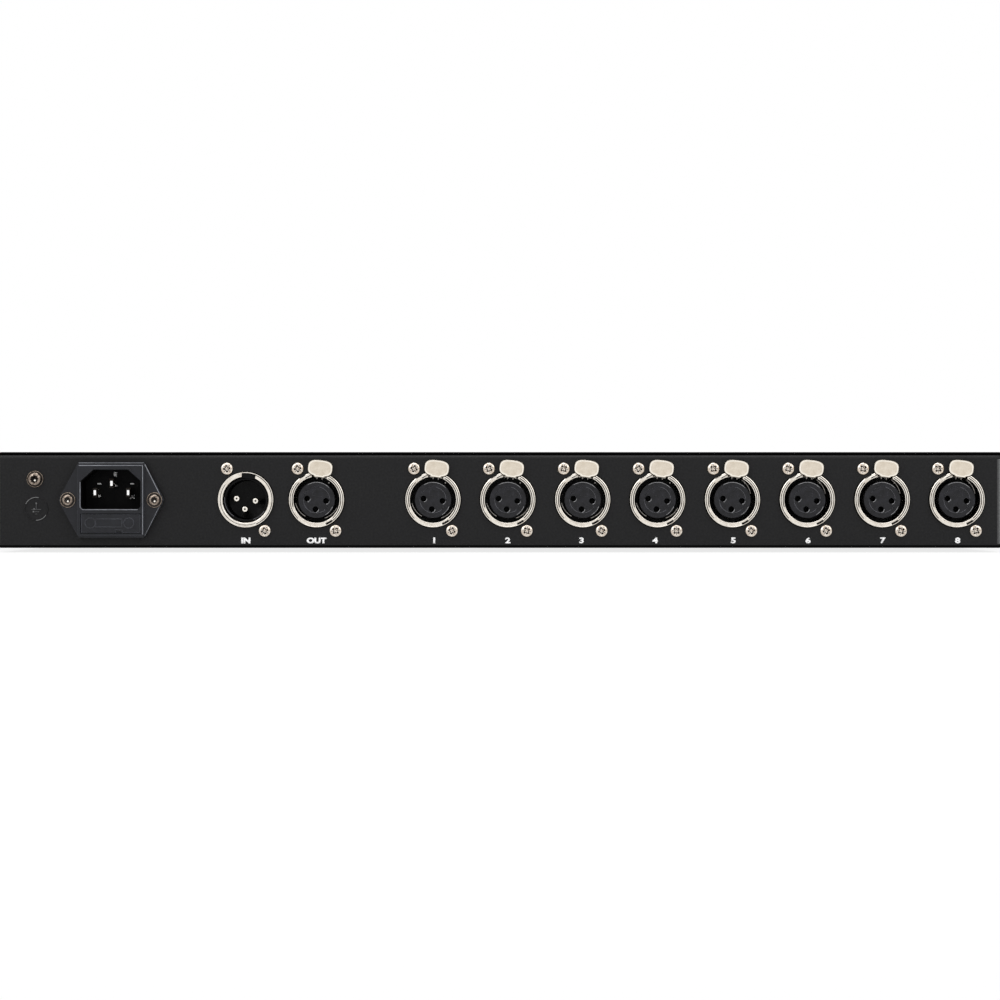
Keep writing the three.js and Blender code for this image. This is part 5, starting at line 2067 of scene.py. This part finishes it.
    def build_marks(self, place: Matrix) -> None:
        """Builds and dresses the small marks of the three contacts on the socket's floor.

        Args:
            place: Where the inlet stands.
        """
        floor = -self.proud + self.socket_depth - 0.27
        letters = []
        for text, x, z in (("E", 0.1, 10.9), ("N", 7.3, 1.4)):
            letters.append((lettered(f"inlet_mark_{text}", text, 1.9, 1.1, 0.06), x, z))
        for side, x in (("left", -6.7), ("right", 7.2)):
            dash = ribbon(f"inlet_mark_dash_{side}", [(-0.85, 0.0), (0.85, 0.0)], 0.5, 0, 0.06)
            letters.append((dash, x, 6.9))
        for letter, x, z in letters:
            hand_over(letter, beside(place, x, floor, z), Coating.MARK)

    def build_lines(self) -> Piece:
        """Makes painted highlights along edges of the housing, as fine lines.

        Returns:
            The lines along the top and the right of the block and the flange, and at two sides of the mouth.
        """
        front, flat = -self.proud, -self.flange
        wide, tall = self.block_width / 2 - 0.62, self.block_height / 2 - 0.62
        shoulder, up = self.top_width / 2, self.height / 2 - 0.3
        tip = self.reach / 2 - 0.5
        left, bottom = -self.socket_width / 2 - 0.28, self.socket_rise - self.socket_height / 2 - 0.28
        mouth = [(left, 7.5), (left, bottom + 1), (left + 1, bottom), (-left - 1.5, bottom)]
        lines = [
            ([(-wide, tall), (wide, tall), (wide, -tall)], 0.3, front),
            ([(-shoulder, up), (shoulder, up)], 0.24, flat),
            ([(shoulder + 0.5, up - 0.6), (tip - 1.1, 2.6), (tip, 0)], 0.34, flat),
            ([(tip, 0), (tip - 1.1, -2.6), (shoulder + 0.5, 0.6 - up)], 0.16, flat),
            (mouth, 0.3, front - self.line_proud),
        ]
        strips = [ribbon("line", path, width, depth - 0.03, depth + 0.1) for path, width, depth in lines]
        return gather(strips[0], strips[1:])

    def build(self) -> None:
        """Builds and dresses the inlet."""
        place = on_wall(INLET_PLACE, 0)
        hand_over(self.build_housing(), place, Coating.INLET, ("inlet_housing",))
        hand_over(self.build_lip(), place, Coating.INLET)
        hand_over(self.build_liner(), place, Coating.CAVITY)
        drawer_place = on_wall(INLET_PLACE, -self.drawer_drop)
        drawer, nodes = self.build_drawer(), ("fuse_drawer",)
        hand_over(drawer, drawer_place, Coating.INLET, nodes, "fuse_drawer")
        half, low = self.contact_spacing / 2, self.contact_rise
        blades = [("line", -half, low, -1.45), ("neutral", half, low, -1.45)]
        blades.append(("earth", 0.0, self.earth_rise, -0.9))
        for word, x, z, glint in blades:
            blade = self.build_blade(f"blade_{word}", glint)
            spot, node = beside(place, x, 0, z), f"inlet_contact_{word}"
            hand_over(blade, spot, Coating.CONTACT, (node,))
        for word, side in (("left", -1), ("right", 1)):
            fixing = RecessedScrew(
                head=2.25, rise=1.3, shank=1.4, length=8,
                washer=3.25, washer_rise=0.7, nut=3.0, nut_rise=2.4, grip=3.7,
            )
            screw = fixing.build(f"inlet_fixing_{word}", 30.0 * side, Coating.ZINC)
            spot = beside(place, side * self.screw_spacing / 2, -self.flange, 0)
            hand_over(screw, spot, Coating.ZINC, (f"inlet_screw_{word}",))
        self.build_marks(place)
        # Painted highlights along the top and right edges and at the mouth.
        lines = self.build_lines()
        lines.name = "inlet_edge_highlights"
        hand_over(lines, place, Coating.PARTING_LINE)


@dataclass
class WallLegends:
    """The plain white numbers and words printed on the connector wall."""

    height: float = 2.5
    drop: float = -17.0
    first_number: float = -27.7
    left_pitch: float = 31.0
    fifth_number: float = 98.2
    word_drop: float = 0.05

    def build(self) -> None:
        """Prints the numbers under the outputs and the words under the input and the link."""
        places = [self.first_number + self.left_pitch * i for i in range(4)]
        places += [self.fifth_number + OUTPUT_PITCH * i for i in range(4)]
        for i, x in enumerate(places, 1):
            digit = lettered(f"wall_number_{i}", str(i), self.height, 1.35, 0.044)
            hand_over(digit, on_wall(x, self.drop), Coating.INK)
        for text, x in (("IN", INPUT_PLACE), ("OUT", LINK_PLACE)):
            word = lettered(f"wall_word_{text.lower()}", text, self.height, 1.25, 0.06)
            hand_over(word, on_wall(x, self.drop - self.word_drop), Coating.INK)


@dataclass
class Boards:
    """The circuit boards, the transformer and the fuse, whose CAD solids are shown as they are."""

    def build(self) -> None:
        """Dresses the CAD nodes inside the box."""
        finishes = {
            "connector_board": Coating.BOARD,
            "main_board": Coating.BOARD,
            "power_board": Coating.BOARD,
            "transformer": Coating.CORE,
            "fuse": Coating.FUSE,
        }
        for name, coating in finishes.items():
            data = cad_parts[name].data
            data.materials.clear()
            data.materials.append(coating.material())
            log.info("%s keeps its CAD shape in %s", name, coating.value.name)


@dataclass
class Studio:
    """A pale floor, soft lamps and the camera in front of the connector wall, in metres."""

    distance: float = 1.3
    seen_width: float = 0.421
    sensor: float = 36.0
    floor_reach: float = 6.0

    def seen(self, tree: Tree) -> Node:
        """Tells the rays that see a surface, straight or by way of gloss or glass, from those that light it.

        Args:
            tree: The node tree that asks.

        Returns:
            The node that gives one for a ray that sees and zero for one that lights.
        """
        path = add_node(tree, "ShaderNodeLightPath", {})
        straight, gloss = path.outputs["Is Camera Ray"], path.outputs["Is Glossy Ray"]
        glossy = add_node(tree, "ShaderNodeMath", {"operation": "MAXIMUM"}, {0: straight, 1: gloss})
        clear = path.outputs["Is Transmission Ray"]
        return add_node(tree, "ShaderNodeMath", {"operation": "MAXIMUM"}, {0: glossy, 1: clear})

    def build_floor(self) -> None:
        """The floor: pale, and shown near white to the camera with the object's shadow kept."""
        mesh = bmesh.new()
        bmesh.ops.create_grid(mesh, x_segments=1, y_segments=1, size=self.floor_reach)
        data = bpy.data.meshes.new("floor")
        mesh.to_mesh(data)
        mesh.free()
        floor = enter("floor", data)
        material = bpy.data.materials.new("pale_paper_floor")
        tree = bare_tree(material)
        paper = add_node(tree, "ShaderNodeBsdfDiffuse", {"Color": linear("#f4f4f4")})
        white = add_node(tree, "ShaderNodeEmission", {"Color": linear("#ffffff"), "Strength": 1.0})
        share = add_node(tree, "ShaderNodeMath", {"operation": "MULTIPLY", 1: 0.8}, {0: self.seen(tree)})
        mix = add_node(tree, "ShaderNodeMixShader", {}, {0: share, 1: paper, 2: white})
        add_node(tree, "ShaderNodeOutputMaterial", {}, {"Surface": mix})
        data.materials.append(material)

    def build_world(self) -> None:
        """The surroundings: plain soft light, white to the camera and pale in reflections."""
        world = bpy.data.worlds.new("studio")
        bpy.context.scene.world = world
        tree = bare_tree(world)
        soft = add_node(tree, "ShaderNodeBackground", {"Color": linear("#ffffff"), "Strength": 0.75})
        white = add_node(tree, "ShaderNodeBackground", {"Color": linear("#ffffff"), "Strength": 1.0})
        mix = add_node(tree, "ShaderNodeMixShader", {}, {0: self.seen(tree), 1: soft, 2: white})
        add_node(tree, "ShaderNodeOutputWorld", {}, {"Surface": mix})

    def build_lamp(self, name: str, place: tuple[float, float, float], size: float, power: float) -> None:
        """A square soft box that faces the object.

        Args:
            name: The lamp's name.
            place: Where it stands, in metres.
            size: The length of its side, in metres.
            power: Its power, in watts.
        """
        data = bpy.data.lights.new(name, "AREA")
        data.shape = "SQUARE"
        data.size = size
        data.energy = power
        lamp = enter(name, data)
        lamp.location = place
        aim = Vector((0, 0, MIDDLE * MM)) - Vector(place)
        lamp.rotation_euler = aim.to_track_quat("-Z", "Y").to_euler()

    def build_camera(self) -> None:
        """The camera: level with the middle of the wall, which fills the picture's width."""
        data = bpy.data.cameras.new("camera")
        data.sensor_width = self.sensor
        data.lens = self.sensor * self.distance / self.seen_width
        data.clip_start = 0.01
        data.clip_end = 50
        camera = enter("camera", data)
        camera.location = (0, WALL * MM - self.distance, MIDDLE * MM)
        camera.rotation_euler = (math.pi / 2, 0, 0)
        bpy.context.scene.camera = camera

    def build(self) -> None:
        """Builds the studio."""
        self.build_camera()
        self.build_floor()
        self.build_world()
        self.build_lamp("soft_box_left", (-1.1, -1.1, 1.1), 0.9, 6.0)
        self.build_lamp("soft_box_right", (1.2, -0.9, 0.9), 0.9, 4.0)
        self.build_lamp("soft_box_top", (0.0, -0.15, 1.5), 1.0, 8.0)
        self.build_lamp("soft_box_back", (0.3, 1.4, 1.0), 0.9, 6.0)
        bpy.context.scene.view_settings.view_transform = "Standard"


def main() -> None:
    """Builds the scene, from the studio and the box to the small pieces."""
    logging.basicConfig(level=logging.INFO, format="%(name)s: %(message)s")
    Studio().build()
    Chassis().build()
    RackPanel().build()
    PowerSwitch().build()
    MainsInlet().build()
    InputConnector().build()
    outputs = [(f"output_{i}", x) for i, x in enumerate(OUTPUT_PLACES, 1)]
    near, far = {"link": LINK_PLACE, **dict(outputs[:4])}, dict(outputs[4:])
    # Painted reflections in the gaps: at the lower left and right for the link and the first four outputs, at
    # the upper right for the last four.
    SocketConnector().build(
        [([(9.1, 196, 8.5, 243), (9.3, -15, 8.55, -59)], near), ([(9.4, 72, 8.15, 26)], far)]
    )
    WallLegends().build()
    Boards().build()


if __name__ == "__main__":
    main()
